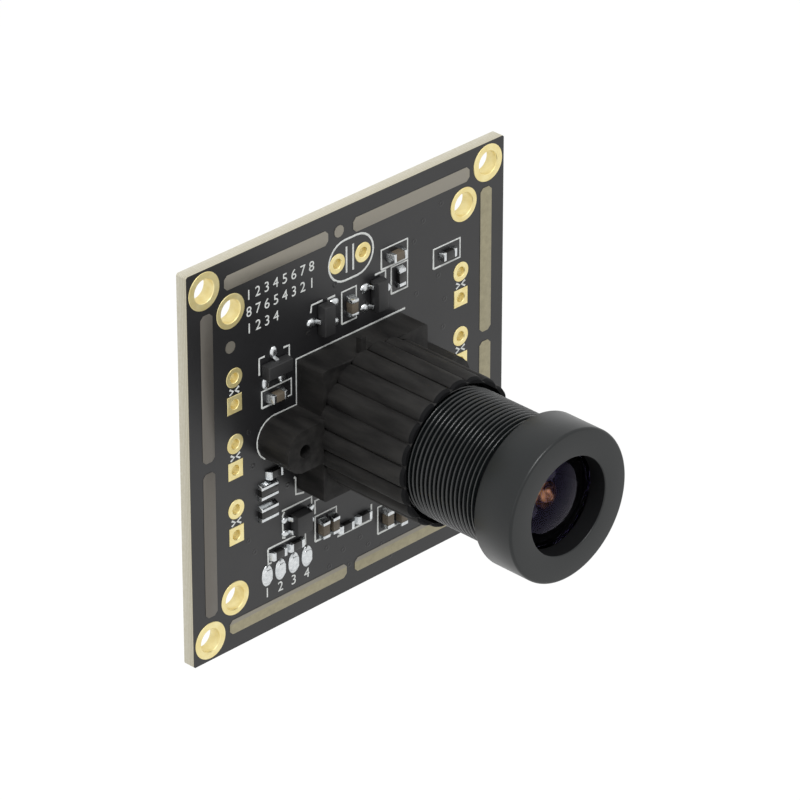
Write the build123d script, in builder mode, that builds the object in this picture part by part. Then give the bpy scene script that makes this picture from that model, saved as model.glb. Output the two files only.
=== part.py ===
"""A board camera: a square circuit board with an image sensor, a moulded lens holder screwed on from
behind and a long threaded lens. The board stands upright and the lens looks along -Y, with +X to the
right as seen from the front and +Z up. The origin is the centre of the mounting holes on the back
face of the board. All sizes are in millimetres."""

import os
from math import cos, radians, sin, sqrt

from build123d import *

# Circuit board
BOARD_WIDTH = 38.0
BOARD_HEIGHT = 38.0
BOARD_THICKNESS = 1.2
BOARD_CORNER = 0.15
PLATING = 0.05  # what the gold lands stand proud of the board
FOIL = 0.04  # thickness of the bare strips and of the test pads

# Small or hidden round parts are prisms with this many sides
HOLE_SIDES = 20
STACK_SIDES = 16
SMALL_SIDES = 12
PAD_SIDES = 8
SQUARE_SIDES = 4

# Mounting holes, two squares of four about the same centre
OUTER_INSET = 2.0  # from the edges of the board to the middle of a hole
OUTER_HOLE = 2.2
OUTER_LAND = 3.5
INNER_INSET = 5.0
INNER_HOLE = 2.2
INNER_LAND = 3.2

# Plated connection holes: three pairs down each side and one pair for a leaded crystal
PAIR_INSET = 5.3  # from the side edges of the board to the holes
PAIR_STEP = 6.4
PAIR_MIDDLE = -0.15  # height of the middle pair
HOLE_PITCH = 2.54
PAD_WIDTH = 1.7
PAD_HOLE = 0.9
CAN_PITCH = 3.1
CAN_PLACE = (0.1, 5.15)  # right of the middle of the board, and down from its top edge

# Bare ground strips along the four edges, and two round test pads
STRIP_INSET = 2.2  # from the edge of the board to a strip's centre line
STRIP_WIDTH = 1.4
STRIP_MARGIN = 4.3  # from the outer end of a strip to the edge of the board past it
STRIP_GAP = 1.0
STRIP_SHORTER = 2.0  # what the strip beside the upper test pad gives up
TEST_PAD = 1.1
UPPER_TEST_PAD = (-1.2, 2.1)  # right of the middle, and down from the top edge
LEFT_TEST_PAD = (4.9, -0.16)  # in from the left edge, and up from midway between its neighbours

# Four pads for the wires of a soldered cable
WIRE_PAD = (1.25, 1.6)
WIRE_PITCH = 1.6
WIRE_PLACE = (11.25, 5.6)  # in from the left edge, and up from the lower edge
SOLDER_HEIGHT = 0.25

# Chip parts: length, width, height, and how far the end caps wrap and the solder runs out
RESISTOR = (1.6, 0.8, 0.45)
CAPACITOR = (1.6, 0.8, 0.8)
WIDE_CHIP = (1.25, 2.0, 0.5)
END_CAP = 0.3
CAP_SKIN = 0.03  # the end caps stand proud of the chip by this
SOLDER_RUN = 0.22
FRONT_RESISTORS = [
    (-0.7, -12.3, 0), (1.5, -12.2, 0), (12.0, 9.95, 0), (6.1, 9.9, 90), (-9.2, -3.4, 0),
]
LOWER_RESISTORS = [(-8.9, 7.4, 0), (-6.8, 7.4, 0)]  # their heights are from the lower edge
FRONT_CAPACITORS = [
    (0.0, 9.35, 90), (-3.6, -11.2, 90), (-2.4, -11.2, 90), (5.5, 12.3, 0), (-9.0, 4.1, 0),
]
LOWER_CAPACITORS = [(4.3, 5.6, 90), (6.0, 5.2, 90)]  # their heights are from the lower edge
WIDE_CHIP_INSET = 8.9  # from the left edge
WIDE_CHIP_HEIGHTS = [-4.75, -6.9]
BACK_RESISTORS = [(6.4, -3.6, 90), (7.9, -3.6, 90), (-6.2, -6.6, 0), (-3.6, -9.0, 90), (3.6, -9.0, 90)]
BACK_CAPACITORS = [
    (-4.6, 3.4, 90), (5.6, 3.2, 90), (-1.6, 6.4, 0), (1.6, 6.4, 0), (-1.8, -3.4, 0), (1.6, -3.4, 0),
    (8.6, 11.0, 0), (-9.4, 4.6, 0),
]

# Small moulded parts with bent leads: body length, width and height
SMALL_BODY = (2.9, 1.3, 1.0)
SMALL_SPAN = 2.4  # from foot to foot
SMALL_PITCH = 0.95
SMALL_LEAD = 0.4
REGULATOR_BODY = (2.0, 1.9, 1.0)
REGULATOR_SPAN = 3.0
REGULATOR_PITCH = 0.65
LEAD_THICKNESS = 0.15
BODY_LIFT = 0.08  # gap between a moulded body and the board
# Place and turn of each three-lead part on the front, with its lone lead towards its own +Y
SMALL_PARTS = [(-9.1, 6.9, 0), (-3.2, 9.35, 90), (3.2, 9.35, -90)]
REGULATOR = (-6.4, 9.65, 90)  # its height is from the lower edge
SURGE_PART = (0.0, -8.6, 180)

# Lens holder: square base with two screw ears and a fluted tube
BASE_WIDTH = 12.7
BASE_HEIGHT = 12.8
BASE_DEPTH = 3.2
BASE_CORNER = 0.35
SCREW_PITCH = 18.0
EAR_WIDTH = 4.1
EAR_DEPTH = 3.7
HOLDER_DEPTH = 13.2  # from the board to the mouth of the tube
RIB_COUNT = 20
# Where along a rib from groove to groove, and the radius of the tube there
RIB_POINTS = [(0.0, 6.64), (0.16, 6.82), (0.5, 6.92), (0.84, 6.82)]
GROOVE_ANGLE = 10.0  # where the first groove lies
MOUTH_RADIUS = 6.38
MOUTH_DEPTH = 0.9
RELIEF_RADIUS = 5.6  # plain bore between the thread and the filter
RELIEF_TOP = 5.0
GATE_SIZE = 0.6  # cut-off stub of the moulding gate on the upper side of the base
GATE_LENGTH = 1.5
GATE_OFFSET = -1.45

# Sensor chamber and filter seat inside the holder
CHAMBER_WIDTH = 10.2
CHAMBER_DEPTH = 2.2
WINDOW_RADIUS = 3.0
WEB_THICKNESS = 0.7  # what carries the filter
FILTER_WIDTH = 7.0
FILTER_THICKNESS = 0.55
FILTER_CLEARANCE = 0.05

# Image sensor
PACKAGE_WIDTH = 8.0
PACKAGE_HEIGHT = 8.0
PACKAGE_DEPTH = 1.2
PACKAGE_WELL = (5.8, 5.0, 0.7)
DIE_SIZE = (5.0, 4.2, 0.3)
COVER_WIDTH = 7.2
COVER_THICKNESS = 0.5

# Screws that hold the holder: they cut their own thread in the ears
SCREW_RADIUS = 0.75
SCREW_REACH = 2.7  # how far the screw goes into the ear
SCREW_HEAD_RADIUS = 1.4
SCREW_HEAD_HEIGHT = 0.9
SCREW_HOLE = 1.8  # clearance hole in the board
SCREW_FIT = 0.02
PILOT_HOLE = 1.2  # what goes on to the front of the ear

# Lens barrel, M12 x 0.5. Depths are measured from the front face of the board
LENS_REAR = 7.4
LENS_FRONT = 26.1
THREAD_RADIUS = 6.0
THREAD_FIT = 0.07
NOSE_RADIUS = 5.4
NOSE_LENGTH = 0.8
NECK_RADIUS = 5.5
NECK_LENGTH = 0.6
HEAD_RADIUS = 7.05
HEAD_LENGTH = 4.3
HEAD_REAR_CHAMFER = 0.15
OPENING_RADIUS = 4.5
OPENING_DEPTH = 1.8
LENS_BORE = 4.9

# Glass and rings inside the barrel, from the front to the rear
STACK_FIT = 0.05  # radial gap between the stack and the barrel
STACK_PLAY = 0.02  # gap between the front glass and its lip
FRONT_GLASS_EDGE = 1.9
FRONT_GLASS_CURVE = 9.0  # radius of the convex front face
FRONT_GLASS_HOLLOW = 16.0  # radius of the concave rear face
GLASS_APERTURE = 4.3  # radius of the curved part of each glass
FRONT_SPACER_LENGTH = 1.8
SECOND_GLASS_EDGE = 1.6
SECOND_GLASS_CURVE = 15.0
STOP_THICKNESS = 0.15
STOP_RADIUS = 2.0
MIDDLE_SPACER_LENGTH = 1.2
THIRD_GLASS_EDGE = 1.5
THIRD_GLASS_CURVE = 14.0
REAR_SPACER_LENGTH = 3.0
REAR_GLASS_EDGE = 1.6
REAR_GLASS_CURVE = 17.0
RING_LENGTH = 1.4
RING_BORE = 3.7
SPACER_BORE = 4.35
SPANNER_SLOT = (1.0, 0.6)
GLASS_STEPS = [1.0, 0.62, 0.25]  # each curved face is drawn in steps at these shares of its radius

# Parts on the back of the board
CONTROLLER_SIZE = (6.0, 6.0, 0.85)
CONTROLLER_CENTRE = (0.3, 1.6)
CONTROLLER_PINS = 8  # on each side
CONTROLLER_PITCH = 0.65
JOINT_SIZE = (0.25, 0.25)  # width of a solder joint, and how far it runs out
FLASH_SIZE = (4.9, 3.9, 1.5)
FLASH_CENTRE = (-7.6, 10.0)
FLASH_SPAN = 6.0
FLASH_PITCH = 1.27
CRYSTAL_SIZE = (3.2, 2.5, 0.5)
CRYSTAL_LID = (2.9, 2.2, 0.25)
CRYSTAL_CENTRE = (4.6, 10.6)

# Wire connector on the back, open towards the lower edge of the board
PLUG_WAYS = 4
PLUG_PITCH = 1.25
PLUG_HEIGHT = 3.4
PLUG_DEPTH = 4.4
PLUG_WALL = 0.6
PLUG_END = 1.5  # from the outer contact to the end of the housing
PLUG_EDGE = 0.4  # from the mouth of the housing to the edge of the board
PLUG_BOTTOM = 0.8  # thickness of the housing behind the cavity
CONTACT_SIZE = 0.32
CONTACT_FIT = 0.03
CONTACT_REACH = 2.4
CONTACT_TAIL = 1.1
KEY_SLOT = 3.0
TAB_SIZE = (0.5, 2.0, 1.2)

stack_radius = LENS_BORE - STACK_FIT

# What is placed from the edges of the board
side_edge, top_edge = BOARD_WIDTH / 2, BOARD_HEIGHT / 2
wire_centre = (WIRE_PLACE[0] - side_edge, WIRE_PLACE[1] - top_edge)
can_centre = (CAN_PLACE[0], top_edge - CAN_PLACE[1])
resistors = FRONT_RESISTORS + [(u, up - top_edge, turn) for u, up, turn in LOWER_RESISTORS]
capacitors = FRONT_CAPACITORS + [(u, up - top_edge, turn) for u, up, turn in LOWER_CAPACITORS]
wide_chips = [(WIDE_CHIP_INSET - side_edge, v, 90) for v in WIDE_CHIP_HEIGHTS]
regulator_place = (REGULATOR[0], REGULATOR[1] - top_edge, REGULATOR[2])

# Planes and the axis of the lens
front = Plane.XZ.offset(BOARD_THICKNESS)
back = Plane((0, 0, 0), x_dir=(-1, 0, 0), z_dir=(0, 1, 0))
section = Plane((0, -BOARD_THICKNESS, 0), x_dir=(1, 0, 0), z_dir=(0, 0, -1))
lens_axis = Axis((0, 0, 0), (0, -1, 0))


def side_view(face, u, v, turn):
    """Plane through (u, v) of a board face: x runs along the turned part and y away from the board."""
    along = face.x_dir * cos(radians(turn)) + face.y_dir * sin(radians(turn))
    return Plane(face.from_local_coords((u, v, 0)), x_dir=along, z_dir=along.cross(face.z_dir))


def moved(u, v, turn, along, across):
    """The point that lies along and across from (u, v) once the part is turned."""
    c, s = cos(radians(turn)), sin(radians(turn))
    return u + along * c - across * s, v + along * s + across * c


def polygon(width, sides, mode=Mode.ADD):
    """A regular outline that is width across its flats, with a flat side towards +X."""
    return RegularPolygon(width / 2, sides, major_radius=False, rotation=180 / sides, mode=mode)


def plated_sleeves(centres, hole, land, land_sides, hole_sides=0):
    """Gold sleeves through the board, each as wide as its land and proud of both faces."""
    with BuildSketch(back.offset(PLATING)) as outline:
        with Locations([(-u, v) for u, v in centres]):
            polygon(land, land_sides)
            if hole_sides:
                polygon(hole, hole_sides, Mode.SUBTRACT)
            else:
                Circle(hole / 2, mode=Mode.SUBTRACT)
    extrude(outline.sketch, amount=-(BOARD_THICKNESS + 2 * PLATING))


def chip_bodies(face, places, size):
    """The ceramic of each chip, between its end caps."""
    length, width, height = size
    for u, v, turn in places:
        with BuildSketch(face.offset(CAP_SKIN)) as outline:
            with Locations(Location((u, v, 0), (0, 0, turn))):
                Rectangle(length - 2 * END_CAP, width - 2 * CAP_SKIN)
        extrude(outline.sketch, amount=height - 2 * CAP_SKIN)


def end_caps(face, places, size):
    """The two metal ends of each chip, with the solder that runs out on the board."""
    length, width, height = size
    end = length / 2
    for u, v, turn in places:
        for way in (turn, turn + 180):
            with BuildSketch(side_view(face, u, v, way)) as outline:
                with BuildLine():
                    Polyline((end - END_CAP, 0), (end + SOLDER_RUN, 0), (end, height),
                             (end - END_CAP, height), close=True)
                make_face()
            extrude(outline.sketch, amount=width / 2, both=True)


def moulded_body(face, u, v, turn, size):
    """A moulded body with upright lower sides and a drafted upper half."""
    length, width, height = size
    half = (height - BODY_LIFT) / 2
    for lift, draft in ((BODY_LIFT, 0), (BODY_LIFT + half, 8)):
        with BuildSketch(face.offset(lift)) as outline:
            with Locations(Location((u, v, 0), (0, 0, turn))):
                Rectangle(length, width)
        extrude(outline.sketch, amount=half, taper=draft)


def bent_lead(face, u, v, turn, start, foot_end, width, rise):
    """One gull wing lead that leaves the body at start and ends at foot_end."""
    t = LEAD_THICKNESS
    run = foot_end - start
    knee, ankle = start + run * 0.3, start + run * 0.5
    with BuildSketch(side_view(face, u, v, turn)) as outline:
        with BuildLine():
            Polyline((start, rise), (knee, rise), (ankle, t), (foot_end, t), (foot_end, 0),
                     (ankle - t * 0.6, 0), (knee - t * 0.6, rise - t), (start, rise - t), close=True)
        make_face()
    extrude(outline.sketch, amount=width / 2, both=True)


def three_leads(face, u, v, turn):
    """Two leads on the lower side and one in the middle of the upper side."""
    rise = BODY_LIFT + (SMALL_BODY[2] - BODY_LIFT) / 2
    for across, way in ((-SMALL_PITCH, -90), (SMALL_PITCH, -90), (0, 90)):
        at = moved(u, v, turn, across, 0)
        bent_lead(face, *at, turn + way, SMALL_BODY[1] / 2, SMALL_SPAN / 2, SMALL_LEAD, rise)


def ring(inner, outer, low, high):
    """A ring of the lens stack."""
    with BuildSketch(front.offset(low)) as outline:
        RegularPolygon(outer, STACK_SIDES, rotation=180 / STACK_SIDES)
        polygon(2 * inner, STACK_SIDES, Mode.SUBTRACT)
    extrude(outline.sketch, amount=high - low)


def curved_face(plane, curve, mode):
    """Adds or cuts a part of a ball of radius curve that stands on plane, in flat facets."""
    turns = [radians(360 * (k + 0.5) / STACK_SIDES) for k in range(STACK_SIDES)]
    rings = []
    for share in GLASS_STEPS:
        r = share * GLASS_APERTURE
        height = sqrt(curve**2 - r**2) - sqrt(curve**2 - GLASS_APERTURE**2)
        rings.append([plane.from_local_coords((r * cos(a), r * sin(a), height)) for a in turns])
    outlines = [rings[0], rings[-1]]
    for wide, narrow in zip(rings, rings[1:]):
        outlines += [(wide[k - 1], wide[k], narrow[k], narrow[k - 1]) for k in range(STACK_SIDES)]
    facets = [Face(Wire.make_polygon(outline)) for outline in outlines]
    add(Solid(Shell(facets)), mode=mode)


def glass(low, high, rear_curve=0.0, front_curve=0.0):
    """A round glass with a flat rim. A positive curve bulges, a negative one is hollow, 0 is flat."""
    with BuildSketch(front.offset(low)) as outline:
        RegularPolygon(stack_radius, STACK_SIDES, rotation=180 / STACK_SIDES)
    extrude(outline.sketch, amount=high - low)
    for level, curve in ((high, front_curve), (low, rear_curve)):
        forward = front.offset(level)
        rearward = back.offset(-(BOARD_THICKNESS + level))
        if curve > 0:
            curved_face(forward if level == high else rearward, curve, Mode.ADD)
        elif curve < 0:
            curved_face(rearward if level == high else forward, -curve, Mode.SUBTRACT)


# The laminate, with every plated hole cut to the outside of its sleeve
pair_heights = [PAIR_MIDDLE + k * PAIR_STEP for k in (-1, 0, 1)]
pair_line = side_edge - PAIR_INSET
round_pads = [(s * pair_line, h + HOLE_PITCH / 2) for s in (-1, 1) for h in pair_heights]
square_pads = [(s * pair_line, h - HOLE_PITCH / 2) for s in (-1, 1) for h in pair_heights]
can_pads = [(can_centre[0] + s * CAN_PITCH / 2, can_centre[1]) for s in (-1, 1)]


def corner_places(inset):
    """Four places at the same inset from the edges of the board."""
    return [(s * (side_edge - inset), t * (top_edge - inset)) for s in (-1, 1) for t in (-1, 1)]


outer_holes, inner_holes = corner_places(OUTER_INSET), corner_places(INNER_INSET)
sleeve_outlines = [(outer_holes, OUTER_LAND, HOLE_SIDES), (inner_holes, INNER_LAND, HOLE_SIDES),
                   (round_pads + can_pads, PAD_WIDTH, PAD_SIDES), (square_pads, PAD_WIDTH, SQUARE_SIDES)]
with BuildPart() as board:
    with BuildSketch(Plane.XZ):
        Rectangle(BOARD_WIDTH, BOARD_HEIGHT)
        chamfer(vertices(), BOARD_CORNER)
        for centres, land, sides in sleeve_outlines:
            with Locations(centres):
                polygon(land, sides, Mode.SUBTRACT)
        with GridLocations(SCREW_PITCH, SCREW_PITCH, 2, 1):
            polygon(SCREW_HOLE, SMALL_SIDES, Mode.SUBTRACT)
    extrude(amount=BOARD_THICKNESS)

# Gold plated mounting holes
with BuildPart() as outer_mount_rings:
    plated_sleeves(outer_holes, OUTER_HOLE, OUTER_LAND, HOLE_SIDES)
with BuildPart() as inner_mount_rings:
    plated_sleeves(inner_holes, INNER_HOLE, INNER_LAND, HOLE_SIDES)

# Gold plated connection holes, with a square land on the first hole of each pair
with BuildPart() as through_hole_pads:
    plated_sleeves(round_pads + can_pads, PAD_HOLE, PAD_WIDTH, PAD_SIDES, PAD_SIDES)
    plated_sleeves(square_pads, PAD_HOLE, PAD_WIDTH, SQUARE_SIDES, PAD_SIDES)

# Bare strips: two on each edge, and the one beside the upper test pad is shorter
with BuildPart() as ground_strips:
    for side in range(4):
        end_edge, far_edge = (top_edge, side_edge) if side % 2 else (side_edge, top_edge)
        outer_end = end_edge - STRIP_MARGIN
        for half in (-1, 1):
            inner_end = STRIP_GAP / 2 + (STRIP_SHORTER if side == 0 and half < 0 else 0)
            middle = half * (outer_end + inner_end) / 2
            spot = moved(0, 0, 90 * side, middle, far_edge - STRIP_INSET)
            with BuildSketch(front):
                with Locations(Location((*spot, 0), (0, 0, 90 * side))):
                    Rectangle(outer_end - inner_end, STRIP_WIDTH)
                chamfer(vertices(), STRIP_WIDTH / 4)
            extrude(amount=FOIL)

# Test pads: one beside the crystal, one between the upper left mounting hole and the holes below it
left_height = (pair_heights[-1] + HOLE_PITCH / 2 + top_edge - INNER_INSET) / 2 + LEFT_TEST_PAD[1]
test_places = [(UPPER_TEST_PAD[0], top_edge - UPPER_TEST_PAD[1]),
               (LEFT_TEST_PAD[0] - side_edge, left_height)]
with BuildPart() as test_pads:
    with BuildSketch(front):
        with Locations(test_places):
            polygon(TEST_PAD, SMALL_SIDES)
    extrude(amount=FOIL)

# Tinned pads: low mounds of solder
with BuildPart() as wire_pads:
    with BuildSketch(front):
        with Locations(wire_centre):
            with GridLocations(WIRE_PITCH, WIRE_PITCH, 4, 1):
                Rectangle(*WIRE_PAD)
        chamfer(vertices(), WIRE_PAD[0] / 4)
    extrude(amount=SOLDER_HEIGHT, taper=35)

# Chip parts on the front
with BuildPart() as front_resistors:
    chip_bodies(front, resistors, RESISTOR)
with BuildPart() as front_capacitors:
    chip_bodies(front, capacitors, CAPACITOR)
with BuildPart() as wide_resistors:
    chip_bodies(front, wide_chips, WIDE_CHIP)
with BuildPart() as front_end_caps:
    end_caps(front, resistors, RESISTOR)
    end_caps(front, capacitors, CAPACITOR)
    end_caps(front, wide_chips, WIDE_CHIP)

# Small moulded parts on the front
with BuildPart() as transistors:
    for u, v, turn in SMALL_PARTS:
        moulded_body(front, u, v, turn, SMALL_BODY)
with BuildPart() as transistor_leads:
    for u, v, turn in SMALL_PARTS:
        three_leads(front, u, v, turn)

with BuildPart() as regulator:
    moulded_body(front, *regulator_place, REGULATOR_BODY)
with BuildPart() as regulator_leads:
    u, v, turn = regulator_place
    rise = BODY_LIFT + (REGULATOR_BODY[2] - BODY_LIFT) / 2
    for across in (-REGULATOR_PITCH, REGULATOR_PITCH):
        for way in (-90, 90):
            at = moved(u, v, turn, across, 0)
            bent_lead(front, *at, turn + way, REGULATOR_BODY[1] / 2, REGULATOR_SPAN / 2, SMALL_LEAD, rise)

# Image sensor: ceramic package with a well for the die, and its cover glass
with BuildPart() as sensor_package:
    with BuildSketch(front):
        Rectangle(PACKAGE_WIDTH, PACKAGE_HEIGHT)
    extrude(amount=PACKAGE_DEPTH)
    with BuildSketch(front.offset(PACKAGE_DEPTH - PACKAGE_WELL[2])):
        Rectangle(PACKAGE_WELL[0], PACKAGE_WELL[1])
    extrude(amount=PACKAGE_WELL[2], mode=Mode.SUBTRACT)

with BuildPart() as sensor_die:
    with BuildSketch(front.offset(PACKAGE_DEPTH - PACKAGE_WELL[2])):
        Rectangle(DIE_SIZE[0], DIE_SIZE[1])
    extrude(amount=DIE_SIZE[2])

with BuildPart() as sensor_cover_glass:
    with BuildSketch(front.offset(PACKAGE_DEPTH)):
        Rectangle(COVER_WIDTH, COVER_WIDTH)
    extrude(amount=COVER_THICKNESS)

# Lens holder
bore_radius = THREAD_RADIUS + THREAD_FIT
filter_seat = CHAMBER_DEPTH + WEB_THICKNESS
web_top = filter_seat + FILTER_THICKNESS + FILTER_CLEARANCE
with BuildPart() as lens_holder:
    with BuildSketch(front):
        RectangleRounded(BASE_WIDTH, BASE_HEIGHT, BASE_CORNER)
    extrude(amount=BASE_DEPTH)
    with BuildSketch(front):
        Rectangle(SCREW_PITCH, EAR_WIDTH)
        with GridLocations(SCREW_PITCH, SCREW_PITCH, 2, 1):
            polygon(EAR_WIDTH, STACK_SIDES)
    extrude(amount=EAR_DEPTH)
    # The fluted tube: rounded ribs that meet in sharp grooves
    with BuildSketch(front.offset(BASE_DEPTH)):
        with BuildLine():
            rim = [(radius, radians(GROOVE_ANGLE + (k + part) * 360 / RIB_COUNT))
                   for k in range(RIB_COUNT) for part, radius in RIB_POINTS]
            Polyline(*((radius * cos(a), radius * sin(a)) for radius, a in rim), close=True)
        make_face()
    extrude(amount=HOLDER_DEPTH - BASE_DEPTH)
    with BuildSketch(front.offset(BASE_DEPTH - GATE_SIZE)):
        with Locations((GATE_OFFSET, (BASE_HEIGHT + GATE_LENGTH) / 2)):
            Rectangle(GATE_SIZE, GATE_LENGTH)
    extrude(amount=GATE_SIZE)
    # Sensor chamber, window, plain bore, threaded bore with its mouth, and the filter recess
    with BuildSketch(front):
        Rectangle(CHAMBER_WIDTH, CHAMBER_WIDTH)
    extrude(amount=CHAMBER_DEPTH, mode=Mode.SUBTRACT)
    with BuildSketch(front):
        polygon(2 * WINDOW_RADIUS, STACK_SIDES)
    extrude(amount=RELIEF_TOP, mode=Mode.SUBTRACT)
    with BuildSketch(front.offset(web_top)):
        polygon(2 * RELIEF_RADIUS, STACK_SIDES)
    extrude(amount=RELIEF_TOP - web_top, mode=Mode.SUBTRACT)
    with BuildSketch(section):
        with BuildLine():
            Polyline(
                (0, RELIEF_TOP), (bore_radius, RELIEF_TOP), (bore_radius, HOLDER_DEPTH - MOUTH_DEPTH),
                (MOUTH_RADIUS, HOLDER_DEPTH - MOUTH_DEPTH), (MOUTH_RADIUS, HOLDER_DEPTH),
                (0, HOLDER_DEPTH), close=True,
            )
        make_face()
    revolve(axis=lens_axis, mode=Mode.SUBTRACT)
    with BuildSketch(front.offset(filter_seat)):
        Rectangle(FILTER_WIDTH + 2 * FILTER_CLEARANCE, FILTER_WIDTH + 2 * FILTER_CLEARANCE)
    extrude(amount=web_top - filter_seat, mode=Mode.SUBTRACT)
    # Screw holes in the ears
    with BuildSketch(front):
        with GridLocations(SCREW_PITCH, SCREW_PITCH, 2, 1):
            polygon(PILOT_HOLE, SMALL_SIDES)
    extrude(amount=EAR_DEPTH, mode=Mode.SUBTRACT)
    with BuildSketch(front):
        with GridLocations(SCREW_PITCH, SCREW_PITCH, 2, 1):
            polygon(2 * (SCREW_RADIUS + SCREW_FIT), SMALL_SIDES)
    extrude(amount=SCREW_REACH + 2 * SCREW_FIT, mode=Mode.SUBTRACT)

with BuildPart() as ir_cut_filter:
    with BuildSketch(front.offset(filter_seat)):
        Rectangle(FILTER_WIDTH, FILTER_WIDTH)
    extrude(amount=FILTER_THICKNESS)

# Pan head screws, from behind
with BuildPart() as holder_screws:
    with BuildSketch(back):
        with GridLocations(SCREW_PITCH, SCREW_PITCH, 2, 1):
            polygon(2 * SCREW_HEAD_RADIUS, SMALL_SIDES)
    extrude(amount=SCREW_HEAD_HEIGHT)
    chamfer(holder_screws.faces().sort_by(Axis.Y)[-2:].edges(), SCREW_HEAD_HEIGHT * 0.4)
    with BuildSketch(back):
        with GridLocations(SCREW_PITCH, SCREW_PITCH, 2, 1):
            polygon(2 * SCREW_RADIUS, SMALL_SIDES)
    extrude(amount=-(BOARD_THICKNESS + SCREW_REACH))

# Lens barrel, one turned piece: nose, thread, neck and head
head_rear = LENS_FRONT - HEAD_LENGTH
lip = LENS_FRONT - OPENING_DEPTH
with BuildPart() as lens_barrel:
    with BuildSketch(section):
        with BuildLine():
            Polyline(
                (LENS_BORE, LENS_REAR), (NOSE_RADIUS, LENS_REAR), (THREAD_RADIUS, LENS_REAR + NOSE_LENGTH),
                (THREAD_RADIUS, head_rear - NECK_LENGTH), (NECK_RADIUS, head_rear - NECK_LENGTH),
                (NECK_RADIUS, head_rear), (HEAD_RADIUS - HEAD_REAR_CHAMFER, head_rear),
                (HEAD_RADIUS, head_rear + HEAD_REAR_CHAMFER), (HEAD_RADIUS, LENS_FRONT),
                (OPENING_RADIUS, LENS_FRONT), (OPENING_RADIUS, lip), (LENS_BORE, lip), close=True,
            )
        make_face()
    revolve(axis=lens_axis)

# The stack of glass and rings, each seated on the one in front of it
stack = [lip - STACK_PLAY]
for thickness in (FRONT_GLASS_EDGE, FRONT_SPACER_LENGTH, SECOND_GLASS_EDGE, STOP_THICKNESS,
                  MIDDLE_SPACER_LENGTH, THIRD_GLASS_EDGE, REAR_SPACER_LENGTH, REAR_GLASS_EDGE, RING_LENGTH):
    stack.append(stack[-1] - thickness)
with BuildPart() as front_element:
    glass(stack[1], stack[0], rear_curve=-FRONT_GLASS_HOLLOW, front_curve=FRONT_GLASS_CURVE)
with BuildPart() as front_spacer:
    ring(SPACER_BORE, stack_radius, stack[2], stack[1])
with BuildPart() as second_element:
    glass(stack[3], stack[2], rear_curve=-SECOND_GLASS_CURVE, front_curve=-SECOND_GLASS_CURVE)
with BuildPart() as aperture_stop:
    ring(STOP_RADIUS, stack_radius, stack[4], stack[3])
with BuildPart() as middle_spacer:
    ring(SPACER_BORE, stack_radius, stack[5], stack[4])
with BuildPart() as third_element:
    glass(stack[6], stack[5], rear_curve=THIRD_GLASS_CURVE, front_curve=THIRD_GLASS_CURVE)
with BuildPart() as rear_spacer:
    ring(SPACER_BORE, stack_radius, stack[7], stack[6])
with BuildPart() as rear_element:
    glass(stack[8], stack[7], front_curve=REAR_GLASS_CURVE)
with BuildPart() as retaining_ring:
    ring(RING_BORE, stack_radius, stack[9], stack[8])
    with BuildSketch(front.offset(stack[9])):
        Rectangle(2 * LENS_BORE, SPANNER_SLOT[0])
    extrude(amount=SPANNER_SLOT[1], mode=Mode.SUBTRACT)

# Back of the board: controller with its row of solder joints on each side
with BuildPart() as bridge_controller:
    with BuildSketch(back):
        with Locations(CONTROLLER_CENTRE):
            Rectangle(CONTROLLER_SIZE[0], CONTROLLER_SIZE[1])
    extrude(amount=CONTROLLER_SIZE[2])
with BuildPart() as controller_joints:
    for side in range(4):
        for k in range(CONTROLLER_PINS):
            across = (k - (CONTROLLER_PINS - 1) / 2) * CONTROLLER_PITCH
            at = moved(*CONTROLLER_CENTRE, 90 * side, CONTROLLER_SIZE[0] / 2, across)
            with BuildSketch(side_view(back, *at, 90 * side)):
                with BuildLine():
                    Polyline((0, 0), (JOINT_SIZE[1], 0), (0, JOINT_SIZE[1]), close=True)
                make_face()
            extrude(amount=JOINT_SIZE[0] / 2, both=True)

with BuildPart() as flash_memory:
    moulded_body(back, *FLASH_CENTRE, 0, FLASH_SIZE)
with BuildPart() as flash_leads:
    rise = BODY_LIFT + (FLASH_SIZE[2] - BODY_LIFT) / 2
    for way in (-90, 90):
        for k in (-1.5, -0.5, 0.5, 1.5):
            at = moved(*FLASH_CENTRE, 0, k * FLASH_PITCH, 0)
            bent_lead(back, *at, way, FLASH_SIZE[1] / 2, FLASH_SPAN / 2, SMALL_LEAD, rise)

with BuildPart() as crystal_base:
    with BuildSketch(back):
        with Locations(CRYSTAL_CENTRE):
            Rectangle(CRYSTAL_SIZE[0], CRYSTAL_SIZE[1])
    extrude(amount=CRYSTAL_SIZE[2])
with BuildPart() as crystal_lid:
    with BuildSketch(back.offset(CRYSTAL_SIZE[2])):
        with Locations(CRYSTAL_CENTRE):
            Rectangle(CRYSTAL_LID[0], CRYSTAL_LID[1])
        chamfer(vertices(), CRYSTAL_LID[2])
    extrude(amount=CRYSTAL_LID[2])

with BuildPart() as surge_part:
    moulded_body(back, *SURGE_PART, SMALL_BODY)
with BuildPart() as surge_part_leads:
    three_leads(back, *SURGE_PART)

with BuildPart() as back_resistors:
    chip_bodies(back, BACK_RESISTORS, RESISTOR)
with BuildPart() as back_capacitors:
    chip_bodies(back, BACK_CAPACITORS, CAPACITOR)
with BuildPart() as back_end_caps:
    end_caps(back, BACK_RESISTORS, RESISTOR)
    end_caps(back, BACK_CAPACITORS, CAPACITOR)

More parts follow.
